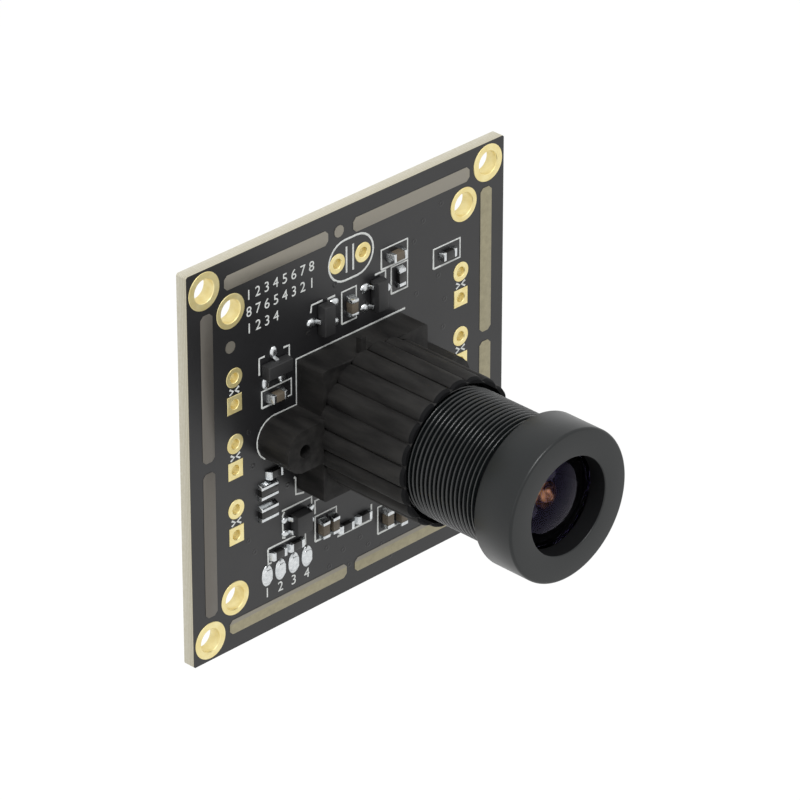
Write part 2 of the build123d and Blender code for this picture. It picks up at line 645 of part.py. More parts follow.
# Wire connector: a shroud open downwards, with a key slot in its outer wall
plug_width = (PLUG_WAYS - 1) * PLUG_PITCH + 2 * PLUG_END
plug_mouth = -BOARD_HEIGHT / 2 + PLUG_EDGE
plug_top = plug_mouth + PLUG_DEPTH
cavity_depth = PLUG_DEPTH - PLUG_BOTTOM
contact_height = PLUG_HEIGHT / 2
contact_places = [((k - (PLUG_WAYS - 1) / 2) * PLUG_PITCH) for k in range(PLUG_WAYS)]
with BuildPart() as wire_connector:
    with BuildSketch(back):
        with Locations((0, plug_mouth + PLUG_DEPTH / 2)):
            Rectangle(plug_width, PLUG_DEPTH)
    extrude(amount=PLUG_HEIGHT)
    with BuildSketch(back.offset(PLUG_WALL)):
        with Locations((0, plug_mouth + cavity_depth / 2)):
            Rectangle(plug_width - 2 * PLUG_WALL, cavity_depth)
    extrude(amount=PLUG_HEIGHT - 2 * PLUG_WALL, mode=Mode.SUBTRACT)
    with BuildSketch(back.offset(PLUG_HEIGHT - PLUG_WALL)):
        with Locations((0, plug_mouth + cavity_depth / 2)):
            Rectangle(KEY_SLOT, cavity_depth)
    extrude(amount=PLUG_WALL, mode=Mode.SUBTRACT)
    with BuildSketch(Plane.XY.offset(plug_top)):
        with Locations(*((x, contact_height) for x in contact_places)):
            Rectangle(CONTACT_SIZE + 2 * CONTACT_FIT, CONTACT_SIZE + 2 * CONTACT_FIT)
    extrude(amount=-PLUG_BOTTOM, mode=Mode.SUBTRACT)

# Contacts: a pin in the cavity that bends down behind the housing to a foot on the board
with BuildPart() as connector_contacts:
    s, tail = CONTACT_SIZE, CONTACT_TAIL
    for x in contact_places:
        with BuildSketch(side_view(back, x, plug_top, 90)):
            with BuildLine():
                Polyline(
                    (-PLUG_BOTTOM - CONTACT_REACH, contact_height - s / 2), (s, contact_height - s / 2),
                    (s, 0), (s + tail, 0), (s + tail, s / 2), (2 * s, s / 2), (2 * s, contact_height + s / 2),
                    (-PLUG_BOTTOM - CONTACT_REACH, contact_height + s / 2), close=True,
                )
            make_face()
        extrude(amount=s / 2, both=True)

with BuildPart() as connector_tabs:
    with BuildSketch(back):
        with Locations((0, plug_mouth + PLUG_DEPTH / 2)):
            with GridLocations(plug_width + TAB_SIZE[0], PLUG_DEPTH, 2, 1):
                Rectangle(TAB_SIZE[0], TAB_SIZE[1])
    extrude(amount=TAB_SIZE[2])

pieces = {
    "board": board,
    "outer_mount_rings": outer_mount_rings,
    "inner_mount_rings": inner_mount_rings,
    "through_hole_pads": through_hole_pads,
    "ground_strips": ground_strips,
    "test_pads": test_pads,
    "wire_pads": wire_pads,
    "front_resistors": front_resistors,
    "front_capacitors": front_capacitors,
    "wide_resistors": wide_resistors,
    "front_end_caps": front_end_caps,
    "transistors": transistors,
    "transistor_leads": transistor_leads,
    "regulator": regulator,
    "regulator_leads": regulator_leads,
    "sensor_package": sensor_package,
    "sensor_die": sensor_die,
    "sensor_cover_glass": sensor_cover_glass,
    "lens_holder": lens_holder,
    "ir_cut_filter": ir_cut_filter,
    "holder_screws": holder_screws,
    "lens_barrel": lens_barrel,
    "front_element": front_element,
    "front_spacer": front_spacer,
    "second_element": second_element,
    "aperture_stop": aperture_stop,
    "middle_spacer": middle_spacer,
    "third_element": third_element,
    "rear_spacer": rear_spacer,
    "rear_element": rear_element,
    "retaining_ring": retaining_ring,
    "bridge_controller": bridge_controller,
    "controller_joints": controller_joints,
    "flash_memory": flash_memory,
    "flash_leads": flash_leads,
    "crystal_base": crystal_base,
    "crystal_lid": crystal_lid,
    "surge_part": surge_part,
    "surge_part_leads": surge_part_leads,
    "back_resistors": back_resistors,
    "back_capacitors": back_capacitors,
    "back_end_caps": back_end_caps,
    "wire_connector": wire_connector,
    "connector_contacts": connector_contacts,
    "connector_tabs": connector_tabs,
}
os.makedirs("parts", exist_ok=True)
for name, piece in pieces.items():
    piece.part.label = name
    export_step(piece.part, f"parts/{name}.step")
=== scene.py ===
"""A board camera as it is put together: board, plated holes, print, small parts, sensor, holder, lens
and what sits on the back. Lengths are in millimetres until they become vertices, which are in metres."""
from math import cos, hypot, pi, radians, sin, sqrt

import bmesh
import bpy
from mathutils import Matrix, Vector


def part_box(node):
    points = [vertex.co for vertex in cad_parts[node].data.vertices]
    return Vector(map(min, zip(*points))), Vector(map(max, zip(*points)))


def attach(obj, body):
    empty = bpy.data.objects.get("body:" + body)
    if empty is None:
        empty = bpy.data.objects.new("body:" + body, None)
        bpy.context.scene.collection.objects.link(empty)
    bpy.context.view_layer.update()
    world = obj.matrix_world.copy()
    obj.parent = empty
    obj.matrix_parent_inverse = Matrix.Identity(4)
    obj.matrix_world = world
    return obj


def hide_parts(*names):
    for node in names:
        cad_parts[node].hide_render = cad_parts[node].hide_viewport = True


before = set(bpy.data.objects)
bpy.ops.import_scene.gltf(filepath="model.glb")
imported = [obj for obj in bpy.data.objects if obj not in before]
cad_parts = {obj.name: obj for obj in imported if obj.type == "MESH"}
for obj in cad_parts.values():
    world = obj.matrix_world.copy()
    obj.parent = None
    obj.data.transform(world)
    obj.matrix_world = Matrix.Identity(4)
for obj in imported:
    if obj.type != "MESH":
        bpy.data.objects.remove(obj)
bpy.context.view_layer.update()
MM = 0.001


# Studio: the photograph was taken with a long lens from above and from the left of the lens axis.
# The room is white. A floor well below the module lights it from underneath and takes its shadow.
def linear(hex_colour):
    """The linear colour of an sRGB hex value."""
    shares = [int(hex_colour[k:k + 2], 16) / 255 for k in (1, 3, 5)]
    return (*(s / 12.92 if s <= 0.04045 else ((s + 0.055) / 1.055) ** 2.4 for s in shares), 1)


def add_node(tree, kind, inputs=None, **settings):
    """Adds a node: settings are its properties, inputs map a socket's name or number to a value or to
    the socket that feeds it."""
    node = tree.nodes.new(kind)
    for key, value in settings.items():
        setattr(node, key, value)
    for key, value in (inputs or {}).items():
        if isinstance(value, bpy.types.NodeSocket):
            tree.links.new(value, node.inputs[key])
        else:
            node.inputs[key].default_value = value
    return node


CAMERA_PLACE = (-0.29938, -0.30537, 0.23514)
CAMERA_ELEVATION, CAMERA_AZIMUTH = 28.85, -45.13
CAMERA_LENS = 253.03
FLOOR_DROP = 0.1
FLOOR_REACH = 1.5
camera = bpy.data.objects.new("camera", bpy.data.cameras.new("camera"))
camera.data.lens = CAMERA_LENS
camera.location = CAMERA_PLACE
camera.rotation_euler = (radians(90 - CAMERA_ELEVATION), 0, radians(CAMERA_AZIMUTH))
bpy.context.collection.objects.link(camera)
bpy.context.scene.camera = camera
bpy.context.scene.view_settings.view_transform = "Standard"

LAMP_AIM = Vector((0, -0.01, 0))
for name, place, size, power in (("lamp_above", (-0.15, -0.25, 0.55), 0.2, 2.1),
                                 ("lamp_left", (-0.6, -0.15, 0.15), 0.35, 0.25)):
    lamp = bpy.data.objects.new(name, bpy.data.lights.new(name, "AREA"))
    lamp.data.size = size
    lamp.data.energy = power
    lamp.location = place
    lamp.rotation_euler = (LAMP_AIM - lamp.location).to_track_quat("-Z", "Y").to_euler()
    bpy.context.collection.objects.link(lamp)

ROOM_STRENGTH = 0.7  # of the white room as a light, where it is seen at 1
PAPER_GLOW, PAPER_GLOW_SHARE = 1.07, 0.75


def where_seen(tree):
    """1 where a backdrop is seen, also in a gloss or through glass, and 0 where it only lights."""
    rays = add_node(tree, "ShaderNodeLightPath")
    seen = add_node(tree, "ShaderNodeMath", {0: rays.outputs["Is Camera Ray"],
                                             1: rays.outputs["Is Glossy Ray"]}, operation="MAXIMUM")
    seen = add_node(tree, "ShaderNodeMath", {0: seen.outputs[0], 1: rays.outputs["Is Transmission Ray"]},
                    operation="MAXIMUM")
    return seen.outputs[0]


world = bpy.data.worlds.new("room")
bpy.context.scene.world = world
world.use_nodes = True
tree = world.node_tree
tree.nodes.clear()
strength = add_node(tree, "ShaderNodeMapRange", {"Value": where_seen(tree), "To Min": ROOM_STRENGTH,
                                                 "To Max": 1.0})
sky = add_node(tree, "ShaderNodeBackground", {"Color": linear("#FFFFFF"), "Strength": strength.outputs[0]})
add_node(tree, "ShaderNodeOutputWorld", {"Surface": sky.outputs[0]})

paper = bpy.data.materials.new("white_backdrop_paper")
paper.use_nodes = True
tree = paper.node_tree
tree.nodes.clear()
share = add_node(tree, "ShaderNodeMath", {0: where_seen(tree), 1: PAPER_GLOW_SHARE}, operation="MULTIPLY")
matt = add_node(tree, "ShaderNodeBsdfDiffuse", {"Color": linear("#F4F4F2")})
glow = add_node(tree, "ShaderNodeEmission", {"Color": linear("#FFFFFF"), "Strength": PAPER_GLOW})
mixed = add_node(tree, "ShaderNodeMixShader", {0: share.outputs[0], 1: matt.outputs[0],
                                               2: glow.outputs[0]})
add_node(tree, "ShaderNodeOutputMaterial", {"Surface": mixed.outputs[0]})
floor_mesh = bpy.data.meshes.new("floor")
corners = [(s * FLOOR_REACH, t * FLOOR_REACH, -FLOOR_DROP)
           for s, t in ((-1, -1), (1, -1), (1, 1), (-1, 1))]
floor_mesh.from_pydata(corners, [], [(0, 1, 2, 3)])
floor_mesh.materials.append(paper)
floor = bpy.data.objects.new("floor", floor_mesh)
bpy.context.collection.objects.link(floor)


# Circuit board: woven glass and epoxy laminate, 1.2 thick, with black solder mask screened on both
# faces. Its edges are routed bare, so the beige laminate and its glass layers show there.
def new_finish(name, colour, roughness, **values):
    """A material, its tree, its one shader and the socket that gives the place on the object."""
    material = bpy.data.materials.new(name)
    material.use_nodes = True
    tree = material.node_tree
    shader = tree.nodes["Principled BSDF"]
    shader.inputs["Base Color"].default_value = linear(colour)
    shader.inputs["Roughness"].default_value = roughness
    for key, value in values.items():
        shader.inputs[key.replace("_", " ")].default_value = value
    return material, tree, shader, add_node(tree, "ShaderNodeTexCoord").outputs["Object"]


def keep(node, material):
    """A CAD node that stays gets its material in its own slots."""
    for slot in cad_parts[node].material_slots:
        slot.material = material


def grained(tree, shader, place, per_mm, detail, tones=None, gloss=None, relief=None, **more):
    """Noise that varies a finish between two tones and two values of roughness, and raises it by a
    relief of (strength, height in mm)."""
    noise = add_node(tree, "ShaderNodeTexNoise", {"Vector": place, "Scale": per_mm / MM,
                                                  "Detail": detail, **more})
    grain = noise.outputs["Fac"]
    if tones:
        tone = add_node(tree, "ShaderNodeMix", {0: grain, 6: linear(tones[0]), 7: linear(tones[1])},
                        data_type="RGBA")
        tree.links.new(tone.outputs[2], shader.inputs["Base Color"])
    if gloss:
        dulled = add_node(tree, "ShaderNodeMapRange", {"Value": grain, "To Min": gloss[0],
                                                       "To Max": gloss[1]})
        tree.links.new(dulled.outputs[0], shader.inputs["Roughness"])
    if relief:
        raised = add_node(tree, "ShaderNodeBump", {"Height": grain, "Strength": relief[0],
                                                   "Distance": relief[1] * MM})
        tree.links.new(raised.outputs[0], shader.inputs["Normal"])
    return grain


board_low, board_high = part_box("board")
FRONT = board_low.y / MM
BACK = board_high.y / MM

# Black solder mask: a liquid film cured to a satin gloss, slightly uneven over the weave of the glass.
# The bare edge is rough yellow-grey epoxy with white glass layers, paler towards the back.
MASK_ROUGHNESS, EDGE_ROUGHNESS = 0.36, 0.75
mask_and_edge, tree, shader, place = new_finish("black_solder_mask_on_laminate", "#1B1B1C", MASK_ROUGHNESS)
grained(tree, shader, place, 2.0, 2.0, relief=(0.12, 0.02))
normal = add_node(tree, "ShaderNodeTexCoord").outputs["Normal"]
axis = add_node(tree, "ShaderNodeSeparateXYZ", {0: normal})
facing = add_node(tree, "ShaderNodeMath", {0: axis.outputs["Y"]}, operation="ABSOLUTE")
on_face = add_node(tree, "ShaderNodeMath", {0: facing.outputs[0], 1: 0.5}, operation="GREATER_THAN")
layers = add_node(tree, "ShaderNodeTexWave", {"Vector": place, "Scale": 1.6 / MM, "Distortion": 1.5,
                                              "Detail": 2.0, "Detail Scale": 2.0}, bands_direction="Y")
fray = add_node(tree, "ShaderNodeTexNoise", {"Vector": place, "Scale": 3.0 / MM, "Detail": 4.0})
cloud = add_node(tree, "ShaderNodeTexNoise", {"Vector": place, "Scale": 0.25 / MM, "Detail": 3.0})
depth = add_node(tree, "ShaderNodeSeparateXYZ", {0: place})
worn = add_node(tree, "ShaderNodeMapRange", {"Value": depth.outputs["Y"], "From Min": FRONT * MM,
                                             "From Max": BACK * MM, "To Min": 0.0, "To Max": 0.75})
edge_tone = add_node(tree, "ShaderNodeMix", {0: layers.outputs["Fac"], 6: linear("#9A937B"),
                                             7: linear("#D3CFC0")}, data_type="RGBA")
for amount, paint in ((worn.outputs[0], "#DAD8CE"), (fray.outputs["Fac"], "#B5AF9A")):
    edge_tone = add_node(tree, "ShaderNodeMix", {0: amount, 6: edge_tone.outputs[2], 7: linear(paint)},
                         data_type="RGBA")
mask_tone = add_node(tree, "ShaderNodeMix", {0: cloud.outputs["Fac"], 6: linear("#161617"),
                                             7: linear("#222224")}, data_type="RGBA")
tone = add_node(tree, "ShaderNodeMix", {0: on_face.outputs[0], 6: edge_tone.outputs[2],
                                        7: mask_tone.outputs[2]}, data_type="RGBA")
tree.links.new(tone.outputs[2], shader.inputs["Base Color"])
gloss = add_node(tree, "ShaderNodeMapRange", {"Value": on_face.outputs[0], "To Min": EDGE_ROUGHNESS,
                                              "To Max": MASK_ROUGHNESS})
tree.links.new(gloss.outputs[0], shader.inputs["Roughness"])
keep("board", mask_and_edge)


# Mounting holes and connection holes: copper barrels plated through the board, with a land on each
# face, all under immersion gold. The first hole of each connection pair has a square land.
MERGE_DISTANCE = 0.0005
SHARP_ANGLE = 35  # between two faces, past which the edge between them shows


def mesh_piece(name, bm):
    """Closes a mesh, turns its faces outwards and makes it an object, smooth below the sharp angle."""
    bmesh.ops.remove_doubles(bm, verts=bm.verts, dist=MERGE_DISTANCE * MM)
    bmesh.ops.recalc_face_normals(bm, faces=bm.faces)
    mesh = bpy.data.meshes.new(name)
    bm.to_mesh(mesh)
    bm.free()
    mesh.shade_smooth()
    mesh.set_sharp_from_angle(angle=radians(SHARP_ANGLE))
    piece = bpy.data.objects.new(name, mesh)
    bpy.context.collection.objects.link(piece)
    return piece


def round_row(bm, radius, y, steps, squared=False):
    """A closed row of points round the lens axis, or round a square of that half width."""
    row = []
    for k in range(steps):
        c, s = cos(2 * pi * k / steps), sin(2 * pi * k / steps)
        reach = radius / max(abs(c), abs(s)) if squared else radius
        row.append(bm.verts.new((reach * c * MM, y * MM, reach * s * MM)))
    return row


def walled(bm, rows):
    """Faces between each closed row of points and the next."""
    for near, far in zip(rows, rows[1:]):
        for k in range(len(near)):
            bm.faces.new((near[k - 1], near[k], far[k], far[k - 1]))


def turned(name, outline, steps=96, square=()):
    """Turns an outline of (radius, depth from the board's front) round the lens axis.
    It is closed unless it starts on the axis. Points numbered in square run round a square."""
    bm = bmesh.new()
    rows = [round_row(bm, radius, FRONT - depth, steps, index in square)
            for index, (radius, depth) in enumerate(outline)]
    walled(bm, rows + rows[:1] if outline[0][0] > 0 else rows)
    return mesh_piece(name, bm)


def dress(piece, material, body, slot, *replaced):
    """Gives a finished piece its material and its body, and hides the CAD nodes that it stands for. The
    slot is not used.
    """
    piece.data.materials.clear()
    piece.data.materials.append(material)
    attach(piece, body)
    if replaced:
        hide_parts(*replaced)


def new_tree(name, *inputs):
    """A geometry tree with its named inputs, a geometry coming in and a geometry going out."""
    tree = bpy.data.node_groups.new(name, "GeometryNodeTree")
    for label, kind in (("Geometry", "NodeSocketGeometry"), *inputs, ("Finish", "NodeSocketMaterial")):
        tree.interface.new_socket(label, in_out="INPUT", socket_type=kind)
    tree.interface.new_socket("Geometry", in_out="OUTPUT", socket_type="NodeSocketGeometry")
    return tree, add_node(tree, "NodeGroupInput")


def finish_tree(tree, given, shape):
    """The end of every tree: real geometry in place of instances, and its material."""
    real = add_node(tree, "GeometryNodeRealizeInstances", {0: shape})
    coated = add_node(tree, "GeometryNodeSetMaterial", {"Geometry": real.outputs[0],
                                                        "Material": given.outputs["Finish"]})
    add_node(tree, "NodeGroupOutput", {"Geometry": coated.outputs[0]})


def grown(name, tree, source, **sizes):
    """Runs a tree on a source mesh with the sizes given and keeps the result as a plain mesh."""
    piece = bpy.data.objects.new(name, source)
    bpy.context.collection.objects.link(piece)
    modifier = piece.modifiers.new("tree", "NODES")
    modifier.node_group = tree
    for socket in tree.interface.items_tree:
        if socket.item_type == "SOCKET" and socket.in_out == "INPUT" and socket.name in sizes:
            modifier[socket.identifier] = sizes[socket.name]
    whole = piece.evaluated_get(bpy.context.evaluated_depsgraph_get())
    mesh = bpy.data.meshes.new_from_object(whole)
    piece.modifiers.clear()
    piece.data = mesh
    mesh.shade_smooth()
    mesh.set_sharp_from_angle(angle=radians(SHARP_ANGLE))
    return piece


# One tree sets copies of a part at points, each turned by the point's own turn
copies_tree, given = new_tree("copies_at_points", ("Part", "NodeSocketObject"))
part = add_node(copies_tree, "GeometryNodeObjectInfo", {"Object": given.outputs["Part"],
                                                        "As Instance": True})
turn = add_node(copies_tree, "GeometryNodeInputNamedAttribute", {"Name": "turn"}, data_type="FLOAT_VECTOR")
turn = add_node(copies_tree, "FunctionNodeEulerToRotation", {0: turn.outputs[0]})
copies = add_node(copies_tree, "GeometryNodeInstanceOnPoints",
                  {"Points": given.outputs["Geometry"], "Instance": part.outputs["Geometry"],
                   "Rotation": turn.outputs[0]})
finish_tree(copies_tree, given, copies.outputs[0])


def repeated(name, part, places, material, turns=None):
    """Copies of a part at places (right, up) of the board, each turned about the lens axis."""
    points = bpy.data.meshes.new(name + "_points")
    points.from_pydata([(u * MM, 0, v * MM) for u, v in places], [], [])
    turn = points.attributes.new("turn", "FLOAT_VECTOR", "POINT")
    for point, angle in zip(turn.data, turns or [0] * len(places)):
        point.vector = (0, radians(angle), 0)
    piece = grown(name, copies_tree, points, Part=part, Finish=material)
    bpy.data.objects.remove(part)
    return piece


# Immersion gold over nickel: thin, pale yellow and soft in its shine, with the fine tooth of the copper
gold, *made = new_finish("immersion_gold_plating", "#F0DE98", 0.4, Metallic=0.72)
grained(*made, 8.0, 3.0, gloss=(0.3, 0.5), relief=(0.15, 0.01))
grained(*made, 1.2, 4.0, ("#E0C878", "#FBF2C0"))

OUTER_PITCH, INNER_PITCH = 34.0, 28.0
PAIR_COLUMNS, PAIR_STEP, PAIR_MIDDLE, HOLE_PITCH = 27.4, 6.4, -0.15, 2.54
CAN_PITCH, CAN_CENTRE = 3.1, (0.1, 13.85)
MOUNT_HOLE, PAIR_HOLE = 1.1, 0.45
SKIN = 0.05  # gold stands proud of the board by this
EDGE = 0.03  # rounding of a land's edge
BOARD = BACK - FRONT
pair_heights = [PAIR_MIDDLE + k * PAIR_STEP for k in (-1, 0, 1)]
round_places = [(s * PAIR_COLUMNS / 2, h + HOLE_PITCH / 2) for s in (-1, 1) for h in pair_heights]
round_places += [(CAN_CENTRE[0] + s * CAN_PITCH / 2, CAN_CENTRE[1]) for s in (-1, 1)]
square_places = [(s * PAIR_COLUMNS / 2, h - HOLE_PITCH / 2) for s in (-1, 1) for h in pair_heights]
outer_places, inner_places = ([(s * pitch / 2, t * pitch / 2) for s in (-1, 1) for t in (-1, 1)]
                              for pitch in (OUTER_PITCH, INNER_PITCH))
for name, node, hole, land, places, square in (
        ("outer_mount_ring", "outer_mount_rings", MOUNT_HOLE, 1.77, outer_places, ()),
        ("inner_mount_ring", "inner_mount_rings", MOUNT_HOLE, 1.62, inner_places, ()),
        ("round_connection_hole", "through_hole_pads", PAIR_HOLE, 0.93, round_places, ()),
        ("square_connection_hole", "through_hole_pads", PAIR_HOLE, 0.85, square_places, (2, 3, 4, 5))):
    outline = [(hole, SKIN - 2 * EDGE), (hole + 2 * EDGE, SKIN), (land - EDGE, SKIN), (land, SKIN - EDGE),
               (land, EDGE - BOARD - SKIN), (land - EDGE, -BOARD - SKIN), (hole + 2 * EDGE, -BOARD - SKIN),
               (hole, 2 * EDGE - BOARD - SKIN)]
    holes = repeated(name, turned(name + "_shape", outline, 64, square), places, gold)
    dress(holes, gold, "module", "gold", node)


# Bare strips round the edge: copper left free of mask, for a screening frame. Their surface is rolled,
# so fine streaks run along them and the shine is soft. Their own tone is warm. All but those at the right
# and the bottom are painted grey over it as a painted dark reflection, and those at the left are painted
# darker still as painted shade.
# bounds of the painted grey reflection, and of the painted shade at the left
WARM_FROM, WARM_TO, WARM_BELOW = 14.2, 16.5, -16.5
LEFT_SHADE_FROM, LEFT_SHADE_TO = -14.2, -16.2
bare, tree, shader, place = new_finish("plated_copper_strip_with_painted_reflection_and_shade", "#A39C86", 0.42, Metallic=0.6)
streak = grained(tree, shader, place, 1.5, 5.0, gloss=(0.3, 0.55), relief=(0.3, 0.02), Roughness=0.7)
side = add_node(tree, "ShaderNodeSeparateXYZ", {0: place})
# painted reflection: how much grey covers the warm tone, none at the right and the bottom
grey = add_node(tree, "ShaderNodeMapRange", {"Value": side.outputs["X"], "From Min": WARM_FROM * MM,
                                             "From Max": WARM_TO * MM, "To Min": 0.8, "To Max": 0.0})
upper = add_node(tree, "ShaderNodeMath", {0: side.outputs["Z"], 1: WARM_BELOW * MM},
                 operation="GREATER_THAN")
grey = add_node(tree, "ShaderNodeMath", {0: grey.outputs[0], 1: upper.outputs[0]}, operation="MULTIPLY")
# painted shade: darker towards the left edge
painted_shade_at_left = add_node(tree, "ShaderNodeMapRange", {"Value": side.outputs["X"], "From Min": LEFT_SHADE_TO * MM,
                                                "From Max": LEFT_SHADE_FROM * MM, "To Min": 0.85,
                                                "To Max": 0.0})
tone = add_node(tree, "ShaderNodeMix", {0: streak, 6: linear("#79745F"), 7: linear("#B0A88C")},
                data_type="RGBA")
# the painted grey reflection and the painted shade laid over the warm tone
for amount, paint in ((grey, "#8B8780"), (painted_shade_at_left, "#625E59")):
    tone = add_node(tree, "ShaderNodeMix", {0: amount.outputs[0], 6: tone.outputs[2], 7: linear(paint)},
                    data_type="RGBA")
tree.links.new(tone.outputs[2], shader.inputs["Base Color"])

FLAT_ANGLE, EDGE_ANGLE = 1, 25


def softened(name, node, width, keep_face=None, segments=2):
    """A copy of a CAD node with its triangles merged to flat faces and its edges rounded."""
    bm = bmesh.new()
    bm.from_mesh(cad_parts[node].data)
    if keep_face:
        bmesh.ops.delete(bm, geom=[f for f in bm.faces if not keep_face(f.calc_center_median() / MM)],
                         context="FACES")
    bmesh.ops.remove_doubles(bm, verts=bm.verts, dist=MERGE_DISTANCE * MM)
    bmesh.ops.dissolve_limit(bm, angle_limit=radians(FLAT_ANGLE), verts=bm.verts, edges=bm.edges)
    edges = [e for e in bm.edges if len(e.link_faces) == 2 and e.calc_face_angle(0) > radians(EDGE_ANGLE)]
    bmesh.ops.bevel(bm, geom=edges, offset=width * MM, segments=segments, affect="EDGES", profile=0.6,
                    clamp_overlap=True)
    return mesh_piece(name, bm)


dress(softened("bare_strips", "ground_strips", 0.015), bare, "module", "bare_strip", "ground_strips")
keep("test_pads", bare)


# Print: white epoxy ink screened on the mask, about 0.2 wide. Outlines show where each part goes,
# and plain figures count the wire pads and the rows of holes.
ink, *made = new_finish("white_legend_ink", "#C9CCCA", 0.6)
grained(*made, 6.0, 4.0, ("#A5A8A6", "#F4F6F4"), relief=(0.3, 0.01))

# One tree draws a flat line of ink along every edge of a mesh
lines_tree, given = new_tree("ink_lines", ("Width", "NodeSocketFloat"), ("Height", "NodeSocketFloat"))
paths = add_node(lines_tree, "GeometryNodeMeshToCurve", {"Mesh": given.outputs["Geometry"]})
half = add_node(lines_tree, "ShaderNodeMath", {0: given.outputs["Width"], 1: 0.5}, operation="MULTIPLY")
bead = add_node(lines_tree, "GeometryNodeCurvePrimitiveCircle", {"Resolution": 8,
                                                                 "Radius": half.outputs[0]})
swept = add_node(lines_tree, "GeometryNodeCurveToMesh",
                 {"Curve": paths.outputs[0], "Profile Curve": bead.outputs[0], "Fill Caps": True})
flat = add_node(lines_tree, "ShaderNodeMath", {0: given.outputs["Height"], 1: given.outputs["Width"]},
                operation="DIVIDE")
flat = add_node(lines_tree, "ShaderNodeCombineXYZ", {"X": 1.0, "Y": flat.outputs[0], "Z": 1.0})
pressed = add_node(lines_tree, "GeometryNodeTransform", {"Geometry": swept.outputs[0],
                                                         "Scale": flat.outputs[0]})
finish_tree(lines_tree, given, pressed.outputs[0])

INK_WIDTH, INK_HEIGHT = 0.2, 0.03


def printed_lines(name, lines, face):
    """Ink lines on the board's front or back face, from lists of (right, up) points."""
    bm = bmesh.new()
    for line in lines:
        points = [bm.verts.new((u * MM, 0, v * MM)) for u, v in line]
        for a, b in zip(points, points[1:]):
            bm.edges.new((a, b))
    mesh = bpy.data.meshes.new(name)
    bm.to_mesh(mesh)
    bm.free()
    piece = grown(name, lines_tree, mesh, Width=INK_WIDTH * MM, Height=INK_HEIGHT * MM, Finish=ink)
    piece.data.transform(Matrix.Translation((0, face * MM, 0)))
    dress(piece, ink, "module", "solder_mask")


def box_line(left, low, right, high):
    """The four sides of a printed box."""
    return [(left, low), (right, low), (right, high), (left, high), (left, low)]


def arc_line(u, v, radius, start, end):
    """Points of an arc from a start to an end angle, in degrees."""
    steps = 12
    turns = [radians(start + (end - start) * k / steps) for k in range(steps + 1)]
    return [(u + radius * cos(a), v + radius * sin(a)) for a in turns]


CAN_RADIUS = 1.95
CAN_HALF = 0.72
can_u, can_v = CAN_CENTRE[0] + 0.15, CAN_CENTRE[1]
can_outline = (arc_line(can_u + CAN_HALF, can_v, CAN_RADIUS, -90, 90)
               + arc_line(can_u - CAN_HALF, can_v, CAN_RADIUS, 90, 270))
can_outline.append(can_outline[0])
EAR_CLEAR = 2.1
BASE_CLEAR = 6.4
ear_start = arc_line(-9.0, 0, EAR_CLEAR, 90, 236)
front_lines = [
    can_outline, [(-0.3, 12.6), (-0.3, 15.1)], [(0.5, 12.6), (0.5, 15.1)],
    # holder outline with its ear
    [(BASE_CLEAR + 0.4, 6.5), (-BASE_CLEAR, 6.5), (-BASE_CLEAR, EAR_CLEAR), (-9.0, EAR_CLEAR),
     *ear_start[1:]],
    [(-6.8, -4.9), (-6.6, -5.1), (-6.6, -6.7), (-5.6, -6.9)],
    # corners of the three-lead parts
    [(-10.75, 6.6), (-10.75, 8.2), (-10.1, 8.2)], [(-7.2, 6.7), (-7.2, 8.2), (-7.9, 8.2)],
    [(-4.6, 10.3), (-4.5, 11.0), (-3.2, 11.0)], [(-2.6, 10.9), (-1.7, 10.9)],
    [(3.1, 11.1), (4.4, 11.1), (4.4, 10.2)],
    # chip parts
    box_line(-0.9, 7.8, 0.85, 10.9), box_line(-10.5, 3.3, -7.0, 4.9),
    box_line(3.9, 11.3, 7.1, 13.2), box_line(5.1, 8.5, 7.1, 11.1), box_line(10.3, 9.0, 13.6, 10.9),
    [(-8.0, -7.9), (-8.2, -8.2), (-8.2, -10.4), (-7.9, -10.5)], [(-8.3, -7.7), (-4.7, -7.7), (-4.7, -9.2)],
    [(-10.0, -10.8), (-10.0, -12.3), (-9.6, -12.3)], [(-10.0, -10.8), (-5.5, -10.8), (-5.5, -12.2)],
    box_line(-4.3, -12.4, -1.7, -9.9), [(-4.3, -9.6), (-4.3, -8.3), (-1.7, -8.3)],
    [(-1.6, -13.0), (2.6, -13.0)], [(2.6, -13.0), (2.6, -11.4)], box_line(3.4, -14.8, 7.0, -12.1),
    # caps of the ceramic chips at the foot of the holder
    [(-10.6, -4.1), (-9.6, -4.1)],
]
# corners that point at each other between the two holes of a pair
TIE_WIDTH, TIE_HALF, TIE_GAP = 0.55, 0.28, 0.12
for u in (-PAIR_COLUMNS / 2, PAIR_COLUMNS / 2):
    for h in pair_heights:
        front_lines += [[(u + way * TIE_WIDTH, h + TIE_HALF), (u + way * TIE_GAP, h),
                         (u + way * TIE_WIDTH, h - TIE_HALF)] for way in (-1, 1)]
printed_lines("printed_outlines", front_lines, FRONT)

DOT_RADIUS = 0.22
back_lines = [
    # memory and its dot, crystal, the dot of the controller, connector and surge part
    box_line(4.7, 6.6, 10.5, 13.4), arc_line(11.0, 12.4, DOT_RADIUS, 0, 360),
    box_line(-6.5, 9.2, -2.7, 12.2), arc_line(3.9, 5.6, DOT_RADIUS, 0, 360),
    [(-4.6, -18.4), (-4.6, -12.5), (4.6, -12.5), (4.6, -18.4)], box_line(-1.9, -10.1, 1.9, -7.1),
]
CONTROLLER, CORNER_REACH, CORNER_START = (-0.3, 1.55), 3.6, 2.8
u, v = CONTROLLER
back_lines += [[(u + s * CORNER_REACH, v + t * CORNER_START), (u + s * CORNER_REACH, v + t * CORNER_REACH),
                (u + s * CORNER_START, v + t * CORNER_REACH)] for s in (-1, 1) for t in (-1, 1)]
CHIP_CLEAR = (1.25, 0.72)  # half the length and width of the printed box round a chip
